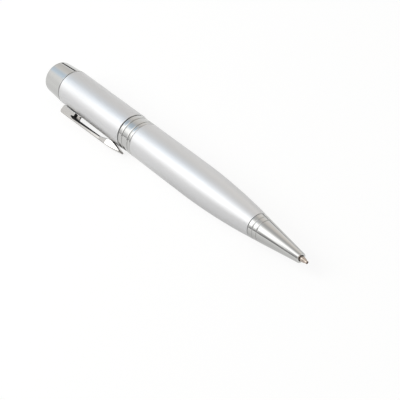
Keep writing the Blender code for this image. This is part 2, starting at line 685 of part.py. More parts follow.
def half_round(name, side, flat, carrier):
    """Half of the round carrier, flat towards the board and stepped clear of the plug."""
    radius = BARREL_BORE - FIT
    outer = [(0, CARRIER_START), (radius, CARRIER_START), (radius, CARRIER_END), (0, CARRIER_END)]
    piece = turned(name, [], outer, "black_plastic", carrier, INNER_SIDES)
    far = 2 * radius

    def cut_away(label, level, start, end):
        low, high = sorted((side * level, -side * far))
        block = box_mesh(label, (low, -far, start), (high, far, end))
        cut(piece, add_cutter(label, block, carrier))

    cut_away(name + "_flat", flat, CARRIER_START - far, CARRIER_END + far)
    cut_away(name + "_plug_step", PLUG_HEIGHT / 2 + FIT, PLUG_START - FIT, CARRIER_END + far)
    return piece


def chip(name, side, surface, size, start, finish, carrier, bed):
    """A chip on one face of the board, and the pocket for it in the carrier."""
    near = surface + BOND
    top = near + size[0]
    low, high = sorted((side * near, side * top))
    add_piece(name, box_mesh(name, (low, -size[1] / 2, start), (high, size[1] / 2, start + size[2]),
                             CHIP_BEVEL), finish, carrier)
    low, high = sorted((0, side * (top + FIT)))
    pocket = box_mesh(name + "_pocket", (low, -size[1] / 2 - FIT, start - FIT),
                      (high, size[1] / 2 + FIT, start + size[2] + FIT))
    cut(bed, add_cutter(name + "_pocket", pocket, carrier))


def make_drive(carrier):
    tray = half_round("carrier_tray", -1, BOARD_THICKNESS + FIT, carrier)
    cover = half_round("carrier_cover", 1, FIT, carrier)
    board_half = PLUG_WIDTH / 2 - PLUG_SHELL - FIT
    board = box_mesh("circuit_board", (-BOARD_THICKNESS, -board_half, BOARD_START),
                     (0, board_half, BOARD_END))
    add_piece("circuit_board", board, "board_laminate", carrier)
    free_length = PLUG_START - FIT - BOARD_START
    memory_start = BOARD_START + (free_length - MEMORY_SIZE[2]) / 2
    chip("memory_chip", -1, BOARD_THICKNESS, MEMORY_SIZE, memory_start, "chip_epoxy", carrier, tray)
    group = CONTROLLER_SIZE[2] + CHIP_SPACING + CRYSTAL_SIZE[2]
    crystal_start = BOARD_START + (free_length - group) / 2
    controller_start = crystal_start + CRYSTAL_SIZE[2] + CHIP_SPACING
    chip("crystal_can", 1, 0, CRYSTAL_SIZE, crystal_start, "plated_shell", carrier, cover)
    chip("controller_chip", 1, 0, CONTROLLER_SIZE, controller_start, "chip_epoxy", carrier, cover)


def make_plug(carrier):
    length = PLUG_END - PLUG_START
    outside = rounded_rectangle(PLUG_HEIGHT, PLUG_WIDTH, PLUG_CORNER)
    inside = rounded_rectangle(PLUG_HEIGHT - 2 * PLUG_SHELL, PLUG_WIDTH - 2 * PLUG_SHELL,
                               PLUG_CORNER - PLUG_SHELL)
    place = Matrix.Translation((0, 0, (PLUG_START + PLUG_END) / 2))
    shell_mesh = outline_mesh("usb_shell", outside, length)
    shell_mesh.transform(place)
    shell = add_piece("usb_shell", shell_mesh, "plated_shell", carrier)
    hollow = outline_mesh("plug_hollow", inside, 2 * length)
    hollow.transform(place)
    cut(shell, add_cutter("plug_hollow", hollow, carrier))
    window_end = PLUG_END - PLUG_WINDOW_SETBACK
    for label, side in (("left", -1), ("right", 1)):
        middle = side * PLUG_WINDOW_PITCH / 2
        window = box_mesh("window_" + label,
                          (-PLUG_HEIGHT, middle - PLUG_WINDOW_WIDTH / 2, window_end - PLUG_WINDOW_LENGTH),
                          (PLUG_HEIGHT, middle + PLUG_WINDOW_WIDTH / 2, window_end))
        cut(shell, add_cutter("window_" + label, window, carrier))
    floor = -PLUG_HEIGHT / 2 + PLUG_SHELL + BOND
    tongue_half = PLUG_WIDTH / 2 - PLUG_SHELL - FIT
    tongue_end = PLUG_END - TONGUE_SETBACK
    tongue = box_mesh("usb_tongue", (floor, -tongue_half, BOARD_END + FIT), (0, tongue_half, tongue_end),
                      TONGUE_BEVEL)
    add_piece("usb_tongue", tongue, "black_plastic", carrier)
    for number, across in enumerate(CONTACT_PITCHES, 1):
        name = "usb_contact_" + str(number)
        strip = box_mesh(name, (BOND, across - CONTACT_WIDTH / 2, BOARD_END - CONTACT_TAIL),
                         (BOND + CONTACT_THICKNESS, across + CONTACT_WIDTH / 2,
                          tongue_end - CONTACT_SETBACK))
        add_piece(name, strip, "gold_contact", carrier)


clear_scene()
PARTS = make_collection("flash_drive_pen")
CUTTERS = make_collection("cutters")
MATERIALS = {name: make_finish(name) for name in FINISHES}

PEN_AXIS = make_empty("pen_axis", place=(-PEN_LENGTH / 2, AXIS_SIDE, AXIS_HEIGHT))
PEN_AXIS.rotation_mode = "YXZ"
PEN_AXIS.rotation_euler = (CLIP_DROOP - math.pi / 2, math.pi / 2, 0)
TWIST_AXIS = make_empty("twist_axis", PEN_AXIS, (0, 0, GRIP_START))
REFILL_AXIS = make_empty("refill_axis", PEN_AXIS, (0, 0, PIN_STATION))
DRIVE_AXIS = make_empty("drive_axis", PEN_AXIS, (0, 0, BARREL_END))
CLIP_HINGE = make_empty("clip_hinge", PEN_AXIS, (BARREL_RADIUS, 0, RIVET_STATION))

make_lower_barrel(PEN_AXIS)
make_nose_cone(PEN_AXIS)
make_guide_tube(PEN_AXIS)
make_centre_ring(TWIST_AXIS)
make_plug_socket(TWIST_AXIS)
make_cam_sleeve(TWIST_AXIS)
make_refill_carrier(REFILL_AXIS)
make_refill(REFILL_AXIS)
make_upper_barrel(DRIVE_AXIS)
make_rear_cap(DRIVE_AXIS)
make_drive(DRIVE_AXIS)
make_plug(DRIVE_AXIS)
make_clip(CLIP_HINGE)
make_clip_rivet(CLIP_HINGE)

bpy.context.view_layer.update()
for made in PARTS.objects:
    if made.type == "MESH":
        settle(made)
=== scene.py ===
"""Looks of a twist pen that hides a memory drive: satin silver tubes, chrome trim, brass point.

Pieces are modelled in millimetres in the pen's own frame, where Z runs along the axis from the
rear face to the ball, X points out at the clip and Y runs across the flat plug. One matrix then
takes each mesh to where the frame has the pen.
"""
import json
import math

import bmesh
import bpy
from mathutils import Matrix, Vector


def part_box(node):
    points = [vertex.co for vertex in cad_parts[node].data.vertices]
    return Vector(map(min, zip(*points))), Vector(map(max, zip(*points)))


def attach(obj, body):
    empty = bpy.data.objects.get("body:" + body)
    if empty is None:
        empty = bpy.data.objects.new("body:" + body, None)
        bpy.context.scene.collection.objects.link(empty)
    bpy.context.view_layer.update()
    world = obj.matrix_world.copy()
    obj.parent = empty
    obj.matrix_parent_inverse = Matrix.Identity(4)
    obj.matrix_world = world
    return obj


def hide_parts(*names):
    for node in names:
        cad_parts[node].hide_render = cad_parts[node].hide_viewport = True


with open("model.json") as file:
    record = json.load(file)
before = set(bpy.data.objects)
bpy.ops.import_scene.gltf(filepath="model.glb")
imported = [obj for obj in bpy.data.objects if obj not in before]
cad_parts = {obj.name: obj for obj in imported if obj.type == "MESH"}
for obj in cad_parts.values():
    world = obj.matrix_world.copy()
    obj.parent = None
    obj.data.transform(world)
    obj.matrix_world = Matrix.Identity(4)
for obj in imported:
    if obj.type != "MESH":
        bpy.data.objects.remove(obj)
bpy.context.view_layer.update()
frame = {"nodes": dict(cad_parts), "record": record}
NODES = frame["nodes"]
RECORD = frame["record"]
BODIES = RECORD["behaviour"]["bodies"]
SLOT_OF = {subpart["node"]: subpart["material_slot"] for subpart in RECORD["subparts"]}
BODY_OF = {node: body for body, members in BODIES.items() for node in members}
MOUNT_AXIS = {mount["name"]: mount["axis"] for mount in RECORD["mounts"]}
MM = 0.001

# The pen's frame in the world, from the rear cap's box and the way that the clip's bar faces
ALONG = Vector((1, 0, 0))
CLIP_FACE = Vector(MOUNT_AXIS["clip_face"])
OUT = (CLIP_FACE - CLIP_FACE.dot(ALONG) * ALONG).normalized()
ACROSS = ALONG.cross(OUT)
CAP_LOW, CAP_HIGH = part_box("rear_cap")
REAR = Vector((CAP_LOW.x, (CAP_LOW.y + CAP_HIGH.y) / 2, (CAP_LOW.z + CAP_HIGH.z) / 2))
BASIS = Matrix((OUT, ACROSS, ALONG)).transposed().to_4x4()
PEN = Matrix.Translation(REAR) @ BASIS @ Matrix.Scale(MM, 4)


def ends(node):
    """Where a node starts and ends along the axis, in millimetres from the rear face."""
    low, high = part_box(node)
    return (low.x - REAR.x) / MM, (high.x - REAR.x) / MM


def radius_of(node):
    """Largest radius of a turned node, in millimetres, taken to the flat it lies on."""
    low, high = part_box(node)
    return (high.z - low.z) / 2 / MM


# Stations and radii that the frame gives
CAP_END = ends("rear_cap")[1]
BARREL_START, BARREL_END = ends("upper_barrel")
RING_START, RING_END = ends("centre_ring")
GRIP_START, GRIP_END = ends("lower_barrel")
NOSE_TAIL, NOSE_END = ends("nose_cone")
TUBE_START, TUBE_END = ends("refill_tube")
POINT_START, POINT_RIM = ends("refill_tip")
BALL_START, BALL_END = ends("writing_ball")
PLUG_START, PLUG_END = ends("usb_shell")
CLIP_START, CLIP_END = ends("clip")
BARREL_RADIUS = radius_of("upper_barrel")
RING_RADIUS = radius_of("centre_ring")
GRIP_RADIUS = radius_of("lower_barrel")
NOSE_RADIUS = radius_of("nose_cone")
BALL_RADIUS = (BALL_END - BALL_START) / 2

# Fineness of turned pieces, and how their edges are drawn
TURN_STEPS = 160
ARC_STEPS = 6
SUPPORT = 0.12
LONG_RUN = 4 * SUPPORT
MERGE = 0.0005
SHARP = math.radians(38)
EDGE = 0.12

# Clearances, and walls of the tubes
FIT = 0.25
SEAM = 0.15
BOND = 0.1
BARREL_WALL = 0.65
RING_WALL = 0.56
GRIP_WALL = 0.51

# Rear cap
CAP_REAR_RADIUS = 6.55
CAP_ROUND = 1.2
CAP_WALL = 1.0
CAP_END_WALL = 1.6

# Bands of the centre ring and of the nose
RING_BANDS = (2.1, 3.2, 1.5)
RING_GROOVE = 0.28
RING_SHOULDER = 0.3
NOSE_BANDS = (1.8, 1.7)
NOSE_GROOVE = 0.25
NOSE_SHOULDER = 0.25
NOSE_TIP_RADIUS = 1.87
NOSE_LIP = 0.2
NOSE_BORE = 2.6
NOSE_GUIDE = 8.5
NOSE_MOUTH = 3.2
NOSE_SPIGOT_GAP = 1.1

# Lower barrel
GRIP_TAPER = 36.0
GRIP_FRONT_WALL = 0.85
GRIP_STEPS = 48

# Refill, with distances on its point taken back from the ball's end
REFILL_RADIUS = 1.175
REFILL_WALL = 0.3
POINT_COLLAR = 1.0
POINT_RADIUS = 0.95
POINT_CONE = 2.3
SHOULDER_RADIUS = 0.80
SHOULDER_REACH = 1.4
NECK_RADIUS = 0.56
NECK_REACH = 1.1
RIM_RADIUS = 0.53
POINT_EDGE = 0.06
POINT_SLOPE = 10
SHOULDER_SLOPE = 40
BALL_SEGMENTS = (48, 32)

# Clip, with heights outwards from the barrel and stations along from the clip's rear end
CLIP_HEIGHT = 3.2
CLIP_LEAN = 0.02
CLIP_BAR = 1.45
CLIP_WIDTH = 4.0
CLIP_TIP_WIDTH = 3.0
CLIP_FOOT = 8.2
CLIP_HEEL = 1.1
CLIP_BASE_ROUND = 0.6
CLIP_FILLET = 0.8
CLIP_SPOON = 30.0
CLIP_SPOON_DROP = 0.83
CLIP_TOUCH = 32.0
CLIP_SWELL = 6.5
CLIP_TIP_HEIGHT = 1.1
CLIP_TIP_ROUND = 0.45
CLIP_TIP_CORNER = 0.32
CLIP_TIP_SLOPE = 15
CLIP_TIP_CURVE = 1.5
CLIP_EASE = 0.22
CLIP_EASE_STEPS = 3
CLIP_CREASE = 0.3
CLIP_CURVE_STEPS = 20
CLIP_SLICES = 7
FOOT_END = CLIP_START + CLIP_FOOT
BAR_START = FOOT_END + CLIP_FILLET
SPOON_START = CLIP_START + CLIP_SPOON
TOUCH = CLIP_START + CLIP_TOUCH

# Relief slit at the root of the clip's bar, with the edges of its mouth from the bar's inner face
SLIT_WIDTH = 0.4
SLIT_MOUTH = (-0.2, 0.85)
SLIT_DEPTH = 1.5
SLIT_POCKET = 0.8

# Painted dark stripe along the clip's flanks, a painted dark reflection, with depths from the bar's inner
# face;
# a thin line of edges beside it keeps its outline crisp
STRIPE_LENGTH = 18.0
STRIPE_ROOT = 0.9
STRIPE_TIP = 0.36
STRIPE_LINE = 0.04
STRIPE_START = FOOT_END - STRIPE_LINE
STRIPE_END = FOOT_END + STRIPE_LENGTH
STRIPE_TAPER = (STRIPE_ROOT - STRIPE_TIP) / STRIPE_LENGTH

# Painted shade and dark reflection on the clip's plate, from 0 for bright to 1 for painted black, and the
# range in which the change shows. The foot's front is painted dark up to a place across, and the spoon's
# inner rim from a station on
PAINTED_SHADE_RANGE = (0.02, 0.2)
RIM_PAINTED_SHADE = 0.14
NECK_PAINTED_SHADE = 0.09
TIP_PAINTED_SHADE = 0.12
ROOT_PAINTED_SHADE_SIDE = -0.5
SPOON_PAINTED_RIM_START = 33.0

# Tests of the clip's normals: the least part across of a flat flank and of any flank or rim, and the
# least part outwards or forwards of a place that is turned that way
FLAT_FLANK = 0.999
SIDEWAYS = 0.1
TURNED = 0.3

# Plug
PLUG_WIDTH = 12.0
PLUG_HEIGHT = 4.5
PLUG_CORNER = 0.6
PLUG_SHELL = 0.3
WINDOW_WIDTH = 2.4
WINDOW_LENGTH = 2.0
WINDOW_SETBACK = 5.2
WINDOW_PITCH = 5.2

# Where most of a noise texture's values lie, and the place of the colour among a Mix node's results
NOISE_LOW, NOISE_HIGH = 0.3, 0.7
MIXED_COLOUR = 2


def linear(colour):
    """An sRGB hex colour as linear red, green, blue and alpha."""
    parts = [int(colour[place:place + 2], 16) / 255 for place in (1, 3, 5)]
    light = [part / 12.92 if part <= 0.04045 else ((part + 0.055) / 1.055) ** 2.4 for part in parts]
    return light + [1.0]


def add_node(tree, kind, inputs=None, **settings):
    """Adds a node with its settings; an input is a value or the socket that feeds it."""
    made = tree.nodes.new(kind)
    for name, value in settings.items():
        setattr(made, name, value)
    for socket, value in (inputs or {}).items():
        if isinstance(value, bpy.types.NodeSocket):
            tree.links.new(value, made.inputs[socket])
        else:
            made.inputs[socket].default_value = value
    return made


def new_material(name):
    """An empty material, its node tree and its output node."""
    material = bpy.data.materials.new(name)
    material.use_nodes = True
    tree = material.node_tree
    tree.nodes.clear()
    return material, tree, tree.nodes.new("ShaderNodeOutputMaterial")


def per_size(millimetres):
    """Scale of a texture whose features are that large."""
    return 1 / (millimetres * MM)


def worked_lines(tree, along, across, detail=2.0):
    """Noise drawn out into the lines that a tool leaves, its features that many millimetres large.

    Real lines are a few hundredths of a millimetre wide; they are drawn coarser so that they show.
    """
    place = add_node(tree, "ShaderNodeTexCoord").outputs["Object"]
    scale = (per_size(along), per_size(across), per_size(across))
    stretched = add_node(tree, "ShaderNodeMapping", {"Vector": place, "Scale": scale})
    noise = add_node(tree, "ShaderNodeTexNoise",
                     {"Vector": stretched.outputs["Vector"], "Scale": 1.0, "Detail": detail})
    return noise.outputs["Fac"]


def satin_silver_lacquer():
    """Silver lacquer: aluminium flakes in a clear satin binder, sprayed on a drawn tube.

    It gives a broad soft highlight, no mirror image, and a very fine sparkle.
    """
    material, tree, output = new_material("satin_silver_lacquer")
    place = add_node(tree, "ShaderNodeTexCoord").outputs["Object"]
    # Real flakes are about 0.03 mm; they are drawn at 0.16 mm so that they show at all
    flakes = add_node(tree, "ShaderNodeTexNoise",
                      {"Vector": place, "Scale": per_size(0.16), "Detail": 1.0}).outputs["Fac"]
    clouds = add_node(tree, "ShaderNodeTexNoise",
                      {"Vector": place, "Scale": per_size(9), "Detail": 2.0}).outputs["Fac"]
    colour = add_node(tree, "ShaderNodeMix",
                      {"Factor": flakes, "A": linear("#d1d1d1"), "B": linear("#dbdbdb")},
                      data_type="RGBA")
    rough = add_node(tree, "ShaderNodeMapRange",
                     {"Value": clouds, "From Min": NOISE_LOW, "From Max": NOISE_HIGH,
                      "To Min": 0.46, "To Max": 0.5})
    bump = add_node(tree, "ShaderNodeBump",
                    {"Height": flakes, "Strength": 0.04, "Distance": 0.01 * MM})
    shader = add_node(tree, "ShaderNodeBsdfPrincipled",
                      {"Base Color": colour.outputs[MIXED_COLOUR], "Metallic": 1.0,
                       "Roughness": rough.outputs["Result"], "Normal": bump.outputs["Normal"]})
    tree.links.new(shader.outputs["BSDF"], output.inputs["Surface"])
    return material


def chrome_plate():
    """Chromium plate on turned and buffed brass: a grey mirror with faint buffing lines around it."""
    material, tree, output = new_material("chrome_plate")
    # Buffing lines run around the axis, so they are fine along it and long the other ways
    lines = worked_lines(tree, along=0.12, across=5)
    rough = add_node(tree, "ShaderNodeMapRange",
                     {"Value": lines, "From Min": NOISE_LOW, "From Max": NOISE_HIGH,
                      "To Min": 0.06, "To Max": 0.09})
    shader = add_node(tree, "ShaderNodeBsdfPrincipled",
                      {"Base Color": linear("#c4c4c2"), "Metallic": 1.0,
                       "Roughness": rough.outputs["Result"]})
    tree.links.new(shader.outputs["BSDF"], output.inputs["Surface"])
    return material


def clip_chrome():
    """Chrome plate of the clip: a grey mirror, with shade and dark reflections painted in where a
    per-point attribute says.
    """
    material, tree, output = new_material("clip_chrome")
    lines = worked_lines(tree, along=4, across=0.15)
    rough = add_node(tree, "ShaderNodeMapRange",
                     {"Value": lines, "From Min": NOISE_LOW, "From Max": NOISE_HIGH,
                      "To Min": 0.07, "To Max": 0.11})
    # Painted shade and painted dark reflection, read per point from the clip's mesh
    painted_shade = add_node(tree, "ShaderNodeAttribute", attribute_name="painted_shade").outputs["Fac"]
    painted_dark = add_node(tree, "ShaderNodeMapRange",
                    {"Value": painted_shade, "From Min": PAINTED_SHADE_RANGE[0], "From Max": PAINTED_SHADE_RANGE[1]},
                    interpolation_type="SMOOTHSTEP")
    # Painted shade: the plate's colour runs to near black with the attribute
    colour = add_node(tree, "ShaderNodeMix",
                      {"Factor": painted_dark.outputs["Result"],
                       "A": linear("#c5c1bc"), "B": linear("#232323")},
                      data_type="RGBA")
    shader = add_node(tree, "ShaderNodeBsdfPrincipled",
                      {"Base Color": colour.outputs[MIXED_COLOUR], "Metallic": 1.0,
                       "Roughness": rough.outputs["Result"]})
    tree.links.new(shader.outputs["BSDF"], output.inputs["Surface"])
    return material


def turned_brass():
    """Pale brass off the lathe: warm and bright, with fine turning lines."""
    material, tree, output = new_material("turned_brass")
    lines = worked_lines(tree, along=0.1, across=4)
    colour = add_node(tree, "ShaderNodeMix",
                      {"Factor": lines, "A": linear("#ab9e92"), "B": linear("#c5bab0")},
                      data_type="RGBA")
    rough = add_node(tree, "ShaderNodeMapRange",
                     {"Value": lines, "From Min": NOISE_LOW, "From Max": NOISE_HIGH,
                      "To Min": 0.11, "To Max": 0.18})
    shader = add_node(tree, "ShaderNodeBsdfPrincipled",
                      {"Base Color": colour.outputs[MIXED_COLOUR], "Metallic": 1.0,
                       "Roughness": rough.outputs["Result"]})
    tree.links.new(shader.outputs["BSDF"], output.inputs["Surface"])
    return material


def plated_steel():
    """Nickel-plated sheet steel: rolled along the plug, so it has fine lines along the axis."""
    material, tree, output = new_material("plated_steel")
    lines = worked_lines(tree, along=6, across=0.15, detail=3.0)
    colour = add_node(tree, "ShaderNodeMix",
                      {"Factor": lines, "A": linear("#b9b8b3"), "B": linear("#cdccc8")},
                      data_type="RGBA")
    rough = add_node(tree, "ShaderNodeMapRange",
                     {"Value": lines, "From Min": NOISE_LOW, "From Max": NOISE_HIGH,
                      "To Min": 0.2, "To Max": 0.32})
    shader = add_node(tree, "ShaderNodeBsdfPrincipled",
                      {"Base Color": colour.outputs[MIXED_COLOUR], "Metallic": 1.0,
                       "Roughness": rough.outputs["Result"]})
    tree.links.new(shader.outputs["BSDF"], output.inputs["Surface"])
    return material


def gold_flash():
    """Thin gold over nickel on the contacts: yellow, with fine wiping marks along the plug."""
    material, tree, output = new_material("gold_flash")
    marks = worked_lines(tree, along=3, across=0.12)
    rough = add_node(tree, "ShaderNodeMapRange",
                     {"Value": marks, "From Min": NOISE_LOW, "From Max": NOISE_HIGH,
                      "To Min": 0.18, "To Max": 0.32})
    colour = add_node(tree, "ShaderNodeMix",
                      {"Factor": marks, "A": linear("#d8b25a"), "B": linear("#ecd084")},
                      data_type="RGBA")
    shader = add_node(tree, "ShaderNodeBsdfPrincipled",
                      {"Base Color": colour.outputs[MIXED_COLOUR], "Metallic": 1.0,
                       "Roughness": rough.outputs["Result"]})
    tree.links.new(shader.outputs["BSDF"], output.inputs["Surface"])
    return material


def carbide_ball():
    """Sintered tungsten carbide, lapped and wet with ink: dark and glossy, with faint blotches."""
    material, tree, output = new_material("carbide_ball")
    place = add_node(tree, "ShaderNodeTexCoord").outputs["Object"]
    blotches = add_node(tree, "ShaderNodeTexNoise",
                        {"Vector": place, "Scale": per_size(0.3), "Detail": 2.0}).outputs["Fac"]
    colour = add_node(tree, "ShaderNodeMix",
                      {"Factor": blotches, "A": linear("#43352f"), "B": linear("#62524a")},
                      data_type="RGBA")
    shader = add_node(tree, "ShaderNodeBsdfPrincipled",
                      {"Base Color": colour.outputs[MIXED_COLOUR], "Metallic": 1.0, "Roughness": 0.22})
    tree.links.new(shader.outputs["BSDF"], output.inputs["Surface"])
    return material


def moulded_plastic(name, dark, light, grain, rough_from, rough_to):
    """Injection-moulded plastic: even colour, with the fine spark grain of its mould."""
    material, tree, output = new_material(name)
    place = add_node(tree, "ShaderNodeTexCoord").outputs["Object"]
    spark = add_node(tree, "ShaderNodeTexNoise",
                     {"Vector": place, "Scale": per_size(grain), "Detail": 2.0}).outputs["Fac"]
    colour = add_node(tree, "ShaderNodeMix",
                      {"Factor": spark, "A": linear(dark), "B": linear(light)}, data_type="RGBA")
    rough = add_node(tree, "ShaderNodeMapRange",
                     {"Value": spark, "From Min": NOISE_LOW, "From Max": NOISE_HIGH,
                      "To Min": rough_from, "To Max": rough_to})
    bump = add_node(tree, "ShaderNodeBump",
                    {"Height": spark, "Strength": 0.2, "Distance": 0.02 * MM})
    shader = add_node(tree, "ShaderNodeBsdfPrincipled",
                      {"Base Color": colour.outputs[MIXED_COLOUR], "Roughness": rough.outputs["Result"],
                       "Normal": bump.outputs["Normal"]})
    tree.links.new(shader.outputs["BSDF"], output.inputs["Surface"])
    return material


def board_laminate():
    """Glass-cloth laminate under green solder resist: the weave shows as a faint check."""
    material, tree, output = new_material("board_laminate")
    place = add_node(tree, "ShaderNodeTexCoord").outputs["Object"]
    weave = add_node(tree, "ShaderNodeTexChecker",
                     {"Vector": place, "Scale": per_size(0.5)}).outputs["Fac"]
    colour = add_node(tree, "ShaderNodeMix",
                      {"Factor": weave, "A": linear("#1c6a3c"), "B": linear("#237545")},
                      data_type="RGBA")
    shader = add_node(tree, "ShaderNodeBsdfPrincipled",
                      {"Base Color": colour.outputs[MIXED_COLOUR], "Roughness": 0.35})
    tree.links.new(shader.outputs["BSDF"], output.inputs["Surface"])
    return material


FINISHES = {
    "satin_silver_lacquer": satin_silver_lacquer(),
    "chrome_plate": chrome_plate(),
    "clip_chrome": clip_chrome(),
    "plated_shell": plated_steel(),
    "gold_contact": gold_flash(),
    "brass": turned_brass(),
    "ball_carbide": carbide_ball(),
    "black_plastic": moulded_plastic("black_moulded_plastic", "#181819", "#1f1f20", 0.25, 0.4, 0.55),
    "ivory_acetal": moulded_plastic("ivory_acetal", "#dcd8cc", "#e4e0d6", 0.3, 0.42, 0.52),
    "board_laminate": board_laminate(),
    "chip_epoxy": moulded_plastic("chip_epoxy", "#232325", "#2b2b2d", 0.15, 0.55, 0.7),
}


def dress_nodes():
    """Gives each node of the frame the finish of its slot."""
    for node, slot in SLOT_OF.items():
        NODES[node].data.materials.clear()
        NODES[node].data.materials.append(FINISHES[slot])


def arc(centre, size, start, end, steps=ARC_STEPS):
    """Points of an arc as (radius, station), angles in degrees from outwards towards the ball."""
    points = []
    for step in range(steps + 1):
        angle = math.radians(start + (end - start) * step / steps)
        points.append((centre[0] + size * math.cos(angle), centre[1] + size * math.sin(angle)))
    return points


def supported(outline):
    """The closed outline with a point near both ends of each long run, which keeps it straight."""
    points = []
    for here, there in zip(outline, outline[1:] + outline[:1]):
        points.append(here)
        run = math.dist(here, there)
        if run > LONG_RUN:
            for share in (SUPPORT / run, 1 - SUPPORT / run):
                points.append(tuple(a + (b - a) * share for a, b in zip(here, there)))
    return points


def turned(outline):
    """A solid of revolution from its closed outline of (radius, station) points."""
    bm = bmesh.new()
    points = supported(outline)
    verts = [bm.verts.new((radius, 0, station)) for radius, station in points]
    edges = [bm.edges.new(pair) for pair in zip(verts, verts[1:] + verts[:1])]
    bmesh.ops.spin(bm, geom=verts + edges, cent=(0, 0, 0), axis=(0, 0, 1), angle=2 * math.pi,
                   steps=TURN_STEPS, use_merge=True)
    bmesh.ops.remove_doubles(bm, verts=bm.verts, dist=MERGE)
    bmesh.ops.dissolve_degenerate(bm, edges=bm.edges, dist=MERGE)
    on_axis = [edge for edge in bm.edges if not edge.link_faces]
    bmesh.ops.delete(bm, geom=on_axis, context="EDGES")
    bmesh.ops.recalc_face_normals(bm, faces=bm.faces)
    return bm


def add_piece(name, bm, node, finish=None):
    """Puts a finished bmesh into the scene as the piece that stands for a node."""
    bm.transform(PEN)
    mesh = bpy.data.meshes.new(name)
    bm.to_mesh(mesh)
    bm.free()
    mesh.materials.append(FINISHES[finish or SLOT_OF[node]])
    mesh.shade_smooth()
    mesh.set_sharp_from_angle(angle=SHARP)
    piece = bpy.data.objects.new(name, mesh)
    bpy.context.scene.collection.objects.link(piece)
    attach(piece, BODY_OF[node])
    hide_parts(node)


def banded(radius_at, start, lengths, gap, shoulder):
    """Outline of bands with round shoulders, parted by square grooves."""
    points = []
    station = start
    for length in lengths:
        rear = (radius_at(station + shoulder) - shoulder, station + shoulder)
        front = (radius_at(station + length - shoulder) - shoulder, station + length - shoulder)
        points += arc(rear, shoulder, -90, 0)
        points += arc(front, shoulder, 0, 90)
        station += length + gap
    return points, station


def rear_cap():
    """Conical cap with a rounded rear edge, hollow for its bush."""
    bore = CAP_REAR_RADIUS - CAP_WALL
    outline = [(0, 0)]
    outline += arc((CAP_REAR_RADIUS - CAP_ROUND, CAP_ROUND), CAP_ROUND, -90, 0, 2 * ARC_STEPS)
    outline += arc((BARREL_RADIUS - EDGE, CAP_END - EDGE), EDGE, 0, 90)
    outline += [(bore, CAP_END), (bore, CAP_END_WALL), (0, CAP_END_WALL)]
    add_piece("cap_chrome", turned(outline), "rear_cap")


def upper_barrel():
    """Straight tube of the drive half, with its edges broken."""
    bore = BARREL_RADIUS - BARREL_WALL
    outline = [(bore, BARREL_START)]
    outline += arc((BARREL_RADIUS - EDGE, BARREL_START + EDGE), EDGE, -90, 0)
    outline += arc((BARREL_RADIUS - EDGE, BARREL_END - EDGE), EDGE, 0, 90)
    outline.append((bore, BARREL_END))
    add_piece("barrel_tube", turned(outline), "upper_barrel")


def centre_ring():
    """Ring of three bands around the plug's socket."""
    outline, _ = banded(lambda station: RING_RADIUS, RING_START, RING_BANDS, RING_GROOVE, RING_SHOULDER)
    bore = RING_RADIUS - RING_WALL
    outline += [(bore, RING_END), (bore, RING_START)]
    add_piece("ring_bands", turned(outline), "centre_ring")


def bullet(rear_radius, front_radius, start, end):
    """Curve that leaves the rear level and is steepest at the nose."""
    points = []
    for step in range(GRIP_STEPS + 1):
        share = step / GRIP_STEPS
        points.append((rear_radius - (rear_radius - front_radius) * share ** 2,
                       start + (end - start) * share))
    return points


def lower_barrel():
    """Writing half: straight behind, drawn down in a bullet curve to the nose."""
    taper_start = GRIP_END - GRIP_TAPER
    bore = GRIP_RADIUS - GRIP_WALL
    front_bore = NOSE_RADIUS - GRIP_FRONT_WALL
    outline = arc((GRIP_RADIUS - EDGE, GRIP_START + EDGE), EDGE, -90, 0)
    outline += bullet(GRIP_RADIUS, NOSE_RADIUS, taper_start, GRIP_END - EDGE)
    outline += arc((NOSE_RADIUS - EDGE, GRIP_END - EDGE), EDGE, 0, 90)[1:]
    outline.append((front_bore, GRIP_END))
    outline += bullet(bore, front_bore, taper_start, NOSE_TAIL - FIT)[::-1]
    outline.append((bore, GRIP_START))
    add_piece("grip_tube", turned(outline), "lower_barrel")


def nose_cone():
    """Cone with two bands at its root, a spigot behind and a guide bore for the refill."""
    root = GRIP_END + SEAM
    slope = (NOSE_RADIUS - NOSE_TIP_RADIUS) / (NOSE_END - root)

    def cone(station):
        return NOSE_RADIUS - slope * (station - root)

    spigot = NOSE_RADIUS - NOSE_SPIGOT_GAP
    guide_bore = REFILL_RADIUS + FIT
    mouth_bore = POINT_RADIUS + FIT
    mouth = NOSE_END - NOSE_MOUTH
    outline = [(spigot, NOSE_TAIL), (spigot, root)]
    bands, cone_start = banded(cone, root, NOSE_BANDS, NOSE_GROOVE, NOSE_SHOULDER)
    outline += bands
    shoulder = (cone(cone_start) - NOSE_SHOULDER, cone_start + NOSE_SHOULDER)
    outline += arc(shoulder, NOSE_SHOULDER, -90, 0)
    outline += arc((NOSE_TIP_RADIUS - NOSE_LIP, NOSE_END - NOSE_LIP), NOSE_LIP, 0, 90)
    outline += [(mouth_bore, NOSE_END), (mouth_bore, mouth), (guide_bore, mouth),
                (guide_bore, NOSE_END - NOSE_GUIDE), (NOSE_BORE, NOSE_TAIL)]
    add_piece("nose_chrome", turned(outline), "nose_cone")


def refill_tube():
    """Metal tube that holds the ink."""
    bore = REFILL_RADIUS - REFILL_WALL
    tube = [(REFILL_RADIUS, TUBE_START), (REFILL_RADIUS, TUBE_END),
            (bore, TUBE_END), (bore, TUBE_START)]
    add_piece("refill_reservoir", turned(tube), "refill_tube")


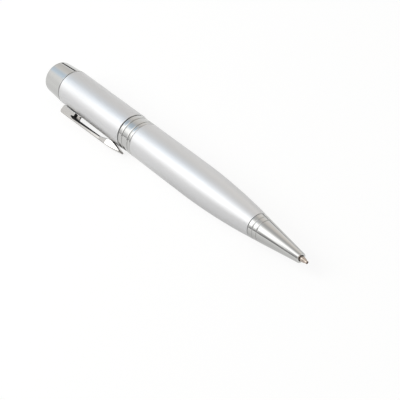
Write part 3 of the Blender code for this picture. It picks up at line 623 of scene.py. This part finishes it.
def refill_tip():
    """Turned point of the refill: a collar, a stem, two cones and a cup for the ball."""
    cup = BALL_RADIUS + BOND
    cup_floor = BALL_START - BOND
    collar_end = POINT_START + POINT_COLLAR
    point = [(0, POINT_START), (REFILL_RADIUS, POINT_START), (REFILL_RADIUS, collar_end),
             (POINT_RADIUS, collar_end)]
    point += arc((POINT_RADIUS - POINT_EDGE, BALL_END - POINT_CONE), POINT_EDGE, 0, POINT_SLOPE)
    point += arc((SHOULDER_RADIUS - POINT_EDGE, BALL_END - SHOULDER_REACH), POINT_EDGE,
                 POINT_SLOPE, SHOULDER_SLOPE)
    point += [(NECK_RADIUS, BALL_END - NECK_REACH), (RIM_RADIUS, POINT_RIM), (cup, POINT_RIM),
              (cup, cup_floor), (0, cup_floor)]
    add_piece("refill_point", turned(point), "refill_tip")


def writing_ball():
    """Ball in the cup at the very end."""
    bm = bmesh.new()
    bmesh.ops.create_uvsphere(bm, u_segments=BALL_SEGMENTS[0], v_segments=BALL_SEGMENTS[1],
                              radius=BALL_RADIUS,
                              matrix=Matrix.Translation((0, 0, BALL_END - BALL_RADIUS)))
    add_piece("point_ball", bm, "writing_ball")


def clip_top(along):
    """Height of the clip's outer face: it leans in along the bar and curves down along the spoon."""
    spoon = max(along - SPOON_START, 0) / (CLIP_END - SPOON_START)
    lean = CLIP_LEAN * (along - CLIP_START - CLIP_HEEL)
    return CLIP_HEIGHT - lean - CLIP_SPOON_DROP * spoon ** 2


def clip_under(along):
    """Height of the spoon's inner face, which turns out from where the clip touches the barrel."""
    return CLIP_TIP_HEIGHT * ((along - TOUCH) / (CLIP_END - TOUCH)) ** CLIP_TIP_CURVE


def bar_inner(along):
    """Distance of the bar's inner face from the pen's axis."""
    return BARREL_RADIUS + clip_top(along) - CLIP_BAR


def clip_side():
    """Side view of the clip as (out, along): foot, straight bar, swell and turned-out spoon."""
    steps = [step / CLIP_CURVE_STEPS for step in range(CLIP_CURVE_STEPS + 1)]
    # Rear of the foot
    side = arc((CLIP_BASE_ROUND, CLIP_START + CLIP_BASE_ROUND), CLIP_BASE_ROUND, 180, 270)
    side += arc((CLIP_HEIGHT - CLIP_HEEL, CLIP_START + CLIP_HEEL), CLIP_HEEL, -90, 0, 2 * ARC_STEPS)
    # Outer face of the spoon
    tip = CLIP_END - CLIP_TIP_ROUND
    for share in steps:
        along = SPOON_START + (tip - SPOON_START) * share
        side.append((clip_top(along), along))
    # Tip, an oval outside and a round corner inside
    corner = arc((0, CLIP_END - CLIP_TIP_CORNER), CLIP_TIP_CORNER, 90, 180 - CLIP_TIP_SLOPE)
    corner_end = corner[-1][1]
    lift = clip_under(corner_end) - corner[-1][0]
    for out, along in arc((0, 0), 1.0, 0, 90)[1:-1]:
        side.append((lift + (clip_top(tip) - lift) * out, tip + CLIP_TIP_ROUND * along))
    side += [(lift + out, along) for out, along in corner]
    # Inner face of the spoon back to where it touches, and the swell up to the bar
    for share in steps[1:]:
        along = corner_end + (TOUCH - corner_end) * share
        side.append((clip_under(along), along))
    bar_rise = clip_top(TOUCH - CLIP_SWELL) - CLIP_BAR
    for share in steps[1:]:
        side.append((bar_rise * share * share * (3 - 2 * share), TOUCH - CLIP_SWELL * share))
    # Fillet between the bar and the front of the foot
    fillet_middle = (clip_top(BAR_START) - CLIP_BAR - CLIP_FILLET, BAR_START)
    side += arc(fillet_middle, CLIP_FILLET, 0, -90, 2 * ARC_STEPS)
    side.append((0, FOOT_END))
    return [(BARREL_RADIUS + out, along) for out, along in side]


def slice_across(bm, place, normal, faces=None):
    """Cuts a line of edges into a mesh, or into some of its faces, where a plane crosses it."""
    geom = bm.verts[:] + bm.edges[:] + bm.faces[:]
    if faces:
        edges = {edge for face in faces for edge in face.edges}
        geom = list({vert for edge in edges for vert in edge.verts}) + list(edges) + faces
    bmesh.ops.bisect_plane(bm, geom=geom, dist=MERGE, plane_co=place, plane_no=normal)


def moved_verts(grown):
    """The new points of an extrusion."""
    return [item for item in grown["geom"] if isinstance(item, bmesh.types.BMVert)]


def clip_blank():
    """The clip's side view extruded to its width, with its rims eased."""
    bm = bmesh.new()
    side = [bm.verts.new((out, -CLIP_WIDTH / 2, along)) for out, along in clip_side()]
    grown = bmesh.ops.extrude_face_region(bm, geom=[bm.faces.new(side)])
    bmesh.ops.translate(bm, vec=(0, CLIP_WIDTH, 0), verts=moved_verts(grown))
    bmesh.ops.recalc_face_normals(bm, faces=bm.faces)
    rims = [edge for edge in bm.edges if abs(edge.verts[0].co.y - edge.verts[1].co.y) < MERGE]
    bmesh.ops.bevel(bm, geom=rims, offset=CLIP_EASE, affect="EDGES", segments=CLIP_EASE_STEPS,
                    profile=0.5, material=-1)
    bm.normal_update()
    return bm


def stripe_flanks(bm):
    """Flat faces of the clip's flanks along its painted dark stripe."""
    start, end = STRIPE_START - STRIPE_LINE, STRIPE_END + STRIPE_LINE
    return [face for face in bm.faces if abs(face.normal.y) > FLAT_FLANK
            and start < face.calc_center_median().z < end]


def slice_clip(bm):
    """Lines of edges across the clip, at its creases and around its painted dark stripe."""
    sides = [face for face in bm.faces if abs(face.normal.y) > FLAT_FLANK]
    bmesh.ops.inset_individual(bm, faces=sides, thickness=STRIPE_LINE, use_even_offset=True)
    for cut in range(1, CLIP_SLICES):
        slice_across(bm, (0, CLIP_WIDTH * (cut / CLIP_SLICES - 0.5), 0), (0, 1, 0))
    stations = [SPOON_START - CLIP_CREASE, SPOON_START, SPOON_START + CLIP_CREASE]
    stations += [STRIPE_START - STRIPE_LINE, STRIPE_START, STRIPE_END, STRIPE_END + STRIPE_LINE]
    for station in stations:
        slice_across(bm, (0, 0, station), (0, 0, 1))
    tilt = (1, 0, CLIP_LEAN + STRIPE_TAPER)
    for depth in (STRIPE_ROOT, STRIPE_ROOT + STRIPE_LINE):
        slice_across(bm, (bar_inner(FOOT_END) + depth, 0, FOOT_END), tilt, stripe_flanks(bm))


def seat_clip(bm):
    """Saddles the clip's foot on the barrel and narrows its spoon towards the tip."""
    saddle = BARREL_RADIUS + FIT
    for vert in bm.verts:
        out, across, along = vert.co
        if along < FOOT_END + MERGE and out < BARREL_RADIUS + CLIP_EASE:
            vert.co.x = max(out, math.sqrt(saddle ** 2 - across ** 2))
        share = max((along - SPOON_START) / (CLIP_END - SPOON_START), 0)
        vert.co.y = across * (1 - share * (1 - CLIP_TIP_WIDTH / CLIP_WIDTH))
    bm.normal_update()


def painted_shade_at(vert):
    """Painted shade at a point of the clip, from 0 for bright chrome to 1 for painted black."""
    out, across, along = vert.co
    facing = vert.normal
    sideways = abs(facing.y) > SIDEWAYS
    stripe_depth = STRIPE_ROOT - STRIPE_TAPER * (along - FOOT_END)
    in_stripe = out - bar_inner(along) < stripe_depth + MERGE
    # Painted shade: rims that face outwards are dimmed
    if sideways and facing.x > TURNED:
        return RIM_PAINTED_SHADE
    # Painted dark reflection: the stripe along the flanks is black
    if sideways and in_stripe and STRIPE_START - MERGE < along < STRIPE_END + MERGE:
        return 1.0
    # Painted shade in the root, on the -Y side of the clip only
    if FOOT_END - CLIP_EASE < along < BAR_START - MERGE:
        return max(facing.z, -facing.x, 0) if across < ROOT_PAINTED_SHADE_SIDE else 0.0
    # Painted shade on the front of the tip
    if along > CLIP_END - CLIP_TIP_ROUND and facing.z > TURNED:
        return TIP_PAINTED_SHADE
    # Painted shade on the neck's flanks
    if sideways and STRIPE_END + MERGE < along < SPOON_START - MERGE:
        return NECK_PAINTED_SHADE
    # Painted dark reflection along the spoon's inner rim
    if sideways and along > CLIP_START + SPOON_PAINTED_RIM_START:
        return max(-facing.x, 0)
    return 0.0


def clip_slit(bm, painted_shade):
    """Relief slit at the root of the bar, sunk as a pocket into both sides of the foot and painted black
    as painted shade.
    """
    start = FOOT_END - SLIT_DEPTH
    inner = bar_inner(FOOT_END)
    middle = inner + sum(SLIT_MOUTH) / 2
    edges = []
    for mouth, side in zip(SLIT_MOUTH, (-1, 1)):
        flare = (inner + mouth - middle - side * SLIT_WIDTH / 2) / SLIT_DEPTH
        edges.append((inner + mouth, flare))

    def root_faces():
        return [face for face in bm.faces if start < face.calc_center_median().z < STRIPE_START]

    def in_slit(place):
        low, high = (edge + flare * (place.z - FOOT_END) for edge, flare in edges)
        return low < place.x < high

    slice_across(bm, (0, 0, start), (0, 0, 1))
    for edge, flare in edges:
        slice_across(bm, (edge, 0, FOOT_END), (1, 0, -flare), root_faces())
    for side in (-1, 1):
        pocket = [face for face in root_faces() if face.normal.y * side > FLAT_FLANK
                  and in_slit(face.calc_center_median())]
        sunk = moved_verts(bmesh.ops.extrude_face_region(bm, geom=pocket))
        bmesh.ops.delete(bm, geom=pocket, context="FACES")
        bmesh.ops.translate(bm, vec=(0, -side * SLIT_POCKET, 0), verts=sunk)
        # Painted shade: the pocket's faces are painted black
        for vert in sunk:
            vert[painted_shade] = 1.0


def clip():
    """Sprung clip: an eased bar with a saddled foot and a relief slit; a dark stripe under the bar and
    shade in its recesses are painted in.
    """
    bm = clip_blank()
    slice_clip(bm)
    seat_clip(bm)
    # Painted shade and dark reflection, stored per point for the clip's material
    painted_shade = bm.verts.layers.float.new("painted_shade")
    for vert in bm.verts:
        vert[painted_shade] = painted_shade_at(vert)
    clip_slit(bm, painted_shade)
    add_piece("clip_spring", bm, "clip", "clip_chrome")


def plug_shell():
    """Folded plug shell: a rounded tube of thin sheet with four latch windows."""
    bm = bmesh.new()
    half_height = PLUG_HEIGHT / 2
    half_width = PLUG_WIDTH / 2
    loop = []
    for quarter, (x, y) in enumerate(((1, 1), (-1, 1), (-1, -1), (1, -1))):
        centre = (x * (half_height - PLUG_CORNER), y * (half_width - PLUG_CORNER))
        loop += arc(centre, PLUG_CORNER, quarter * 90, quarter * 90 + 90)
    verts = [bm.verts.new((x, y, PLUG_START)) for x, y in loop]
    edges = [bm.edges.new(pair) for pair in zip(verts, verts[1:] + verts[:1])]
    grown = bmesh.ops.extrude_edge_only(bm, edges=edges)
    bmesh.ops.translate(bm, vec=(0, 0, PLUG_END - PLUG_START), verts=moved_verts(grown))
    bmesh.ops.recalc_face_normals(bm, faces=bm.faces)
    window_end = PLUG_END - WINDOW_SETBACK
    window_start = window_end - WINDOW_LENGTH
    inner = (WINDOW_PITCH - WINDOW_WIDTH) / 2
    outer = (WINDOW_PITCH + WINDOW_WIDTH) / 2
    for station in (window_start, window_end):
        slice_across(bm, (0, 0, station), (0, 0, 1))
    for across in (-outer, -inner, inner, outer):
        slice_across(bm, (0, across, 0), (0, 1, 0))
    windows = []
    for face in bm.faces:
        middle = face.calc_center_median()
        if window_start < middle.z < window_end and inner < abs(middle.y) < outer:
            windows.append(face)
    bmesh.ops.delete(bm, geom=windows, context="FACES")
    bmesh.ops.solidify(bm, geom=bm.faces[:], thickness=PLUG_SHELL)
    add_piece("plug_sheet", bm, "usb_shell")


dress_nodes()
rear_cap()
upper_barrel()
centre_ring()
lower_barrel()
nose_cone()
refill_tube()
refill_tip()
writing_ball()
clip()
plug_shell()

# Camera, from the photograph: its focal length in pixels, where the seam behind the centre ring
# lies in the frame and how far it is in millimetres, how the pen slants in the frame and tilts
# towards the lens
FRAME_PIXELS = 400
FOCAL_PIXELS = 1350
SENSOR = 36.0
NEAREST = 10.0
SEAM_PIXEL = (133.0, 132.3)
SEAM_DEPTH = 497.8
PEN_SLANT = math.radians(37.33)
PEN_TILT = math.radians(40.67)


def add_camera():
    """Camera that sees the pen as the photograph does."""
    flat, lean = math.cos(PEN_TILT), math.sin(PEN_TILT)
    level, plumb = math.cos(PEN_SLANT), math.sin(PEN_SLANT)
    right = level * flat * ALONG - plumb * OUT + lean * level * ACROSS
    down = plumb * flat * ALONG + level * OUT + lean * plumb * ACROSS
    ahead = flat * ACROSS - lean * ALONG
    seam = PEN @ Vector((0, 0, BARREL_END))
    offset = [(pixel - FRAME_PIXELS / 2) / FOCAL_PIXELS for pixel in SEAM_PIXEL]
    place = seam - SEAM_DEPTH * MM * (offset[0] * right + offset[1] * down + ahead)
    data = bpy.data.cameras.new("camera")
    data.sensor_width = SENSOR
    data.lens = SENSOR * FOCAL_PIXELS / FRAME_PIXELS
    data.clip_start = NEAREST * MM
    camera = bpy.data.objects.new("camera", data)
    turn = Matrix((right, -down, -ahead)).transposed().to_4x4()
    camera.matrix_world = Matrix.Translation(place) @ turn
    bpy.context.scene.collection.objects.link(camera)
    bpy.context.scene.camera = camera


# Studio, in metres around the pen. A turn is an angle about the pen's axis, from the side that
# faces the camera towards the clip, in degrees; a span is along the axis
SOFTBOX_DISTANCE = 0.7
SOFTBOX_TURNS = (-14, 30)
SOFTBOX_SPAN = (-0.75, 0.0)
SOFTBOX_RADIANCE = 2.0
# Cloth tent that metal shows, lit through by the softbox: its brightness by turn, given at some
# places along the axis for the pieces that show them
TENT_DISTANCE = 0.7
TENT_TURNS = (-95, 50)
TENT_SPAN = (-1.7, 1.8)
TENT_CELLS = (70, 350)
TENT_BY_RING = ((-89, 0.95), (-74, 0.93), (-60, 0.82), (-47, 0.75), (-35, 0.74), (-23, 0.82),
                (-15, 0.9), (-8, 1.25), (0, 1.65), (11, 1.85), (20, 1.65), (27, 1.3), (34, 0.95),
                (45, 0.8))
TENT_PLACES = (
    # Rear cap and its rounded edge
    (-1.4, ((-89, 0.40), (-47, 0.55), (-23, 0.8), (0, 0.9), (45, 0.8))),
    (-1.05, ((-89, 0.80), (-60, 0.92), (-47, 1.0), (-35, 0.95), (-23, 0.98), (-11, 1.08), (0, 1.18),
             (11, 1.19), (23, 1.13), (35, 1.05), (45, 1.03))),
    # Upper barrel
    (-0.88, ((-89, 0.80), (-47, 0.72), (-30, 0.84), (-20, 1.3), (-12, 1.9), (-6, 1.3), (-4, 1.0),
             (6, 1.0), (9, 1.5), (15, 2.3), (30, 1.9), (40, 1.2), (45, 1.0))),
    (-0.77, ((-89, 0.78), (-60, 0.70), (-47, 0.66), (-35, 0.72), (-23, 0.92), (-12, 1.8), (-6, 1.3),
             (-4, 1.0), (6, 1.0), (9, 1.5), (15, 2.3), (30, 1.6), (37, 1.1), (45, 0.9))),
    # Centre ring
    (-0.745, TENT_BY_RING),
    (-0.67, TENT_BY_RING),
    # Lower barrel
    (-0.64, ((-89, 0.96), (-60, 0.82), (-47, 0.75), (-35, 0.8), (-23, 1.0), (-15, 1.6), (-8, 2.3),
             (0, 2.7), (25, 2.7), (34, 2.0), (42, 1.2), (45, 1.1))),
    (-0.32, ((-89, 1.0), (-60, 0.82), (-47, 0.75), (-35, 0.8), (-23, 1.0), (-15, 1.6), (-8, 2.3),
             (0, 2.7), (25, 2.7), (34, 2.0), (42, 1.2), (45, 1.1))),
    # Nose, from its bands to its tip
    (-0.26, ((-89, 1.05), (-74, 0.98), (-60, 0.84), (-47, 0.65), (-35, 0.68), (-23, 0.78), (-12, 1.35),
             (-4, 2.0), (0, 2.1), (26, 2.1), (33, 1.5), (39, 0.9), (45, 0.6))),
    (-0.243, ((-89, 1.05), (-74, 0.98), (-60, 0.84), (-47, 0.62), (-35, 0.66), (-25, 0.78), (-12, 1.45),
              (-4, 2.0), (0, 2.1), (23, 2.1), (28, 1.5), (33, 0.7), (37, 0.34), (50, 0.3))),
    (-0.226, ((-89, 1.05), (-74, 0.98), (-60, 0.84), (-47, 0.62), (-35, 0.66), (-25, 0.8), (-12, 1.5),
              (-4, 2.0), (0, 2.1), (25, 2.1), (31, 1.5), (36, 0.8), (41, 0.45), (50, 0.4))),
    (-0.205, ((-89, 1.05), (-74, 0.98), (-60, 0.84), (-47, 0.6), (-35, 0.66), (-23, 1.1), (-14, 1.8),
              (0, 2.0), (6, 2.0), (13, 1.35), (19, 0.6), (23, 0.34), (34, 0.36), (50, 0.5))),
    # Refill's point, and edges that are rounded forwards
    (0.1, ((-89, 1.0), (-60, 0.84), (-47, 0.7), (-23, 0.9), (-8, 1.6), (0, 2.0), (15, 2.0), (22, 1.6),
           (45, 0.6))),
    (0.35, ((-89, 1.0), (-60, 0.84), (-47, 0.7), (-11, 0.8), (11, 0.8), (45, 0.6))),
    (0.55, ((-89, 0.8), (-70, 0.7), (-55, 0.72), (-42, 1.2), (-34, 1.9), (-8, 1.9), (5, 1.2),
            (20, 0.75), (45, 0.7))),
)
# Tints of the tent's shaded side as shares of its brightness, with their strength by turn and by
# place along the axis: cool beside the bright field, warm beyond it and ahead of the pen
TENT_COOL = (0.87, 1.01, 1.16)
TENT_COOL_TURNS = ((-52, 0.0), (-30, 1.0), (-16, 1.0), (4, 0.0))
TENT_COOL_PLACES = ((-0.5, 1.0), (-0.3, 0.0))
TENT_WARM = (1.04, 0.995, 0.95)
TENT_WARM_TURNS = ((-95, 0.6), (-80, 1.0), (-56, 1.0), (-40, 0.0))
TENT_WARM_PLACES = ((-0.5, 0.5), (-0.3, 1.0))
# Painted shade of the pen on the table at its clip side, on a sheet seen only in reflections: distance
# from the axis in metres, brightness, and its strength by place along the axis
SHADE_TABLE = ((0.0, 0.68), (0.009, 0.68), (0.014, 0.78), (0.022, 0.86), (0.042, 0.93), (0.08, 0.98))
SHADE_PLACES = ((-0.11, 0.0), (-0.085, 0.4), (-0.015, 0.4), (0.005, 1.0), (0.045, 1.0), (0.072, 0.3),
                (0.1, 0.0))
SHADE_RISE = 0.0002
SHADE_CELLS = (80, 60)
# Table, plain near the pen and fading into white, with the share of its light that is its own glow
FLOOR_HALF = 3.0
FLOOR_PLAIN = 0.12
FLOOR_WHITE = 0.45
FLOOR_GLOW = 0.82
# Brightness of the surroundings as matt surfaces get it
WORLD_FILL = 0.5
# Dark gap between table and surroundings: first and last bearing from the pen's rear end in degrees,
# lowest and highest edge
GAP_DISTANCE = 1.0
GAPS = ((40, 60, 0.07, 0.105), (60, 180, 0.06, 0.14), (180, 303, 0.05, 0.17), (320, 334, 0.05, 0.18))
GAP_STEPS = 30


def around(turn):
    """Direction square to the pen's axis, at that turn."""
    angle = math.radians(turn)
    return math.sin(angle) * OUT - math.cos(angle) * ACROSS


def read_table(table, value):
    """Straight-line reading from a table of (place, amount) pairs."""
    for (start, low), (end, high) in zip(table, table[1:]):
        if value <= end:
            return low + (high - low) * max(value - start, 0) / (end - start)
    return table[-1][1]


def tent_glow(turn, along):
    """Light that the tent sends to the pen from there, as linear red, green and blue."""
    bright = read_table([(place, read_table(table, turn)) for place, table in TENT_PLACES], along)
    cool = read_table(TENT_COOL_TURNS, turn) * read_table(TENT_COOL_PLACES, along)
    warm = read_table(TENT_WARM_TURNS, turn) * read_table(TENT_WARM_PLACES, along)
    tints = zip(TENT_COOL, TENT_WARM)
    return [bright * (1 + cool * (blue - 1) + warm * (beige - 1)) for blue, beige in tints]


def add_stage(name, bm, material, mirrored_only):
    """Puts a mesh of the studio into the scene, if so wished only for reflections."""
    mesh = bpy.data.meshes.new(name)
    bm.to_mesh(mesh)
    bm.free()
    mesh.materials.append(material)
    piece = bpy.data.objects.new(name, mesh)
    if mirrored_only:
        piece.visible_camera = False
        piece.visible_diffuse = False
        piece.visible_transmission = False
        piece.visible_shadow = False
    bpy.context.scene.collection.objects.link(piece)


def add_softbox():
    """Lamp behind the tent's bright field: it lights matt surfaces, while the tent shows in metal."""
    middle = around(sum(SOFTBOX_TURNS) / 2)
    turn = Matrix((ALONG, middle.cross(ALONG), middle)).transposed().to_4x4()
    data = bpy.data.lights.new("softbox", "AREA")
    data.shape = "RECTANGLE"
    data.size = SOFTBOX_SPAN[1] - SOFTBOX_SPAN[0]
    data.size_y = 2 * SOFTBOX_DISTANCE * math.tan(math.radians(SOFTBOX_TURNS[1] - SOFTBOX_TURNS[0]) / 2)
    data.energy = SOFTBOX_RADIANCE * math.pi * data.size * data.size_y
    place = sum(SOFTBOX_SPAN) / 2 * ALONG + SOFTBOX_DISTANCE * middle
    light = bpy.data.objects.new("softbox", data)
    light.matrix_world = Matrix.Translation(place) @ turn
    light.visible_glossy = False
    bpy.context.scene.collection.objects.link(light)


def add_painted_sheet(name, finish, cells, paint_at):
    """Sheet for reflections that glows as painted: a rule gives the place and light of each point.

    The rule reads how far across and how far up the sheet the point lies, as shares of its size.
    """
    material, tree, output = new_material(finish)
    light = add_node(tree, "ShaderNodeAttribute", attribute_name="glow_paint").outputs["Color"]
    shine = add_node(tree, "ShaderNodeEmission", {"Color": light, "Strength": 1.0})
    tree.links.new(shine.outputs["Emission"], output.inputs["Surface"])
    bm = bmesh.new()
    bmesh.ops.create_grid(bm, x_segments=cells[0], y_segments=cells[1], size=0.5)
    paint = bm.verts.layers.float_color.new("glow_paint")
    for vert in bm.verts:
        place, colour = paint_at(vert.co.x + 0.5, vert.co.y + 0.5)
        vert.co = place
        vert[paint] = (*colour, 1.0)
    add_stage(name, bm, material, True)


def add_tent():
    """Tent of white cloth around the camera's side of the pen, bright by the softbox, shaded beyond."""
    def cloth(share_across, share_along):
        turn = TENT_TURNS[0] + (TENT_TURNS[1] - TENT_TURNS[0]) * share_across
        along = TENT_SPAN[0] + (TENT_SPAN[1] - TENT_SPAN[0]) * share_along
        return along * ALONG + TENT_DISTANCE * around(turn), tent_glow(turn, along)

    add_painted_sheet("tent", "tent_cloth", TENT_CELLS, cloth)


def add_table_shade():
    """Painted shade: a glowing sheet, seen only in reflections, painted with the soft shade that the pen
    casts on the table at its clip side.
    """
    start, end = SHADE_PLACES[0][0], SHADE_PLACES[-1][0]

    def shade(share_along, share_off):
        along = start + (end - start) * share_along
        reach = SHADE_TABLE[-1][0] * share_off
        bright = 1 - (1 - read_table(SHADE_TABLE, reach)) * read_table(SHADE_PLACES, along)
        return (along, REAR.y - reach, SHADE_RISE), (bright, bright, bright)

    add_painted_sheet("table_shade", "table_shade", SHADE_CELLS, shade)


def seen_share(tree):
    """One on rays from the eye, also by a mirror or glass, and zero on rays that light a matt face."""
    path = add_node(tree, "ShaderNodeLightPath").outputs
    seen = path["Is Camera Ray"]
    for other in ("Is Glossy Ray", "Is Transmission Ray"):
        either = add_node(tree, "ShaderNodeMath", {0: seen, 1: path[other]}, operation="MAXIMUM")
        seen = either.outputs["Value"]
    return seen


def add_world():
    """White surroundings for the eye and for reflections, and a softer fill for matt surfaces."""
    world = bpy.data.worlds.new("studio")
    world.use_nodes = True
    tree = world.node_tree
    tree.nodes.clear()
    fill = add_node(tree, "ShaderNodeBackground", {"Color": linear("#ffffff"), "Strength": WORLD_FILL})
    white = add_node(tree, "ShaderNodeBackground", {"Color": linear("#ffffff"), "Strength": 1.0})
    mixed = add_node(tree, "ShaderNodeMixShader",
                     {0: seen_share(tree), 1: fill.outputs["Background"], 2: white.outputs["Background"]})
    add_node(tree, "ShaderNodeOutputWorld", {"Surface": mixed.outputs["Shader"]})
    bpy.context.scene.world = world


def add_floor():
    """Pale table: white to the eye, with the pen's shadow, and it fades into the white around it."""
    material, tree, output = new_material("pale_table")
    place = add_node(tree, "ShaderNodeTexCoord").outputs["Object"]
    reach = add_node(tree, "ShaderNodeVectorMath", {0: place}, operation="LENGTH").outputs["Value"]
    fade = add_node(tree, "ShaderNodeMapRange",
                    {"Value": reach, "From Min": FLOOR_PLAIN, "From Max": FLOOR_WHITE},
                    interpolation_type="SMOOTHSTEP")
    glow = add_node(tree, "ShaderNodeMath", {0: seen_share(tree), 1: FLOOR_GLOW}, operation="MULTIPLY")
    lit = add_node(tree, "ShaderNodeBsdfPrincipled",
                   {"Base Color": linear("#878786"), "Roughness": 1.0, "Specular IOR Level": 0.0,
                    "Emission Color": linear("#ffffff"), "Emission Strength": glow.outputs["Value"]})
    white = add_node(tree, "ShaderNodeEmission", {"Color": linear("#ffffff"), "Strength": 1.0})
    mixed = add_node(tree, "ShaderNodeMixShader",
                     {0: fade.outputs["Result"], 1: lit.outputs["BSDF"], 2: white.outputs["Emission"]})
    tree.links.new(mixed.outputs["Shader"], output.inputs["Surface"])
    bm = bmesh.new()
    bmesh.ops.create_grid(bm, x_segments=1, y_segments=1, size=FLOOR_HALF)
    add_stage("table", bm, material, False)


def add_dark_gap():
    """Dark gap around the table's far edge, which only shows as a line in bright metal."""
    material, tree, output = new_material("dark_gap")
    dark = add_node(tree, "ShaderNodeEmission", {"Color": linear("#101010"), "Strength": 1.0})
    tree.links.new(dark.outputs["Emission"], output.inputs["Surface"])
    bm = bmesh.new()
    for first, last, low, high in GAPS:
        turn = Matrix.Rotation(math.radians(first), 3, "Z")
        corners = [turn @ Vector((-GAP_DISTANCE, 0, height)) for height in (low, high)]
        verts = [bm.verts.new(corner) for corner in corners]
        upright = bm.edges.new(verts)
        bmesh.ops.spin(bm, geom=verts + [upright], cent=(0, 0, 0), axis=(0, 0, 1),
                       angle=math.radians(last - first), steps=GAP_STEPS)
    add_stage("dark_gap", bm, material, True)


add_camera()
add_softbox()
add_tent()
add_table_shade()
add_world()
add_floor()
add_dark_gap()
bpy.context.scene.view_settings.view_transform = "Standard"
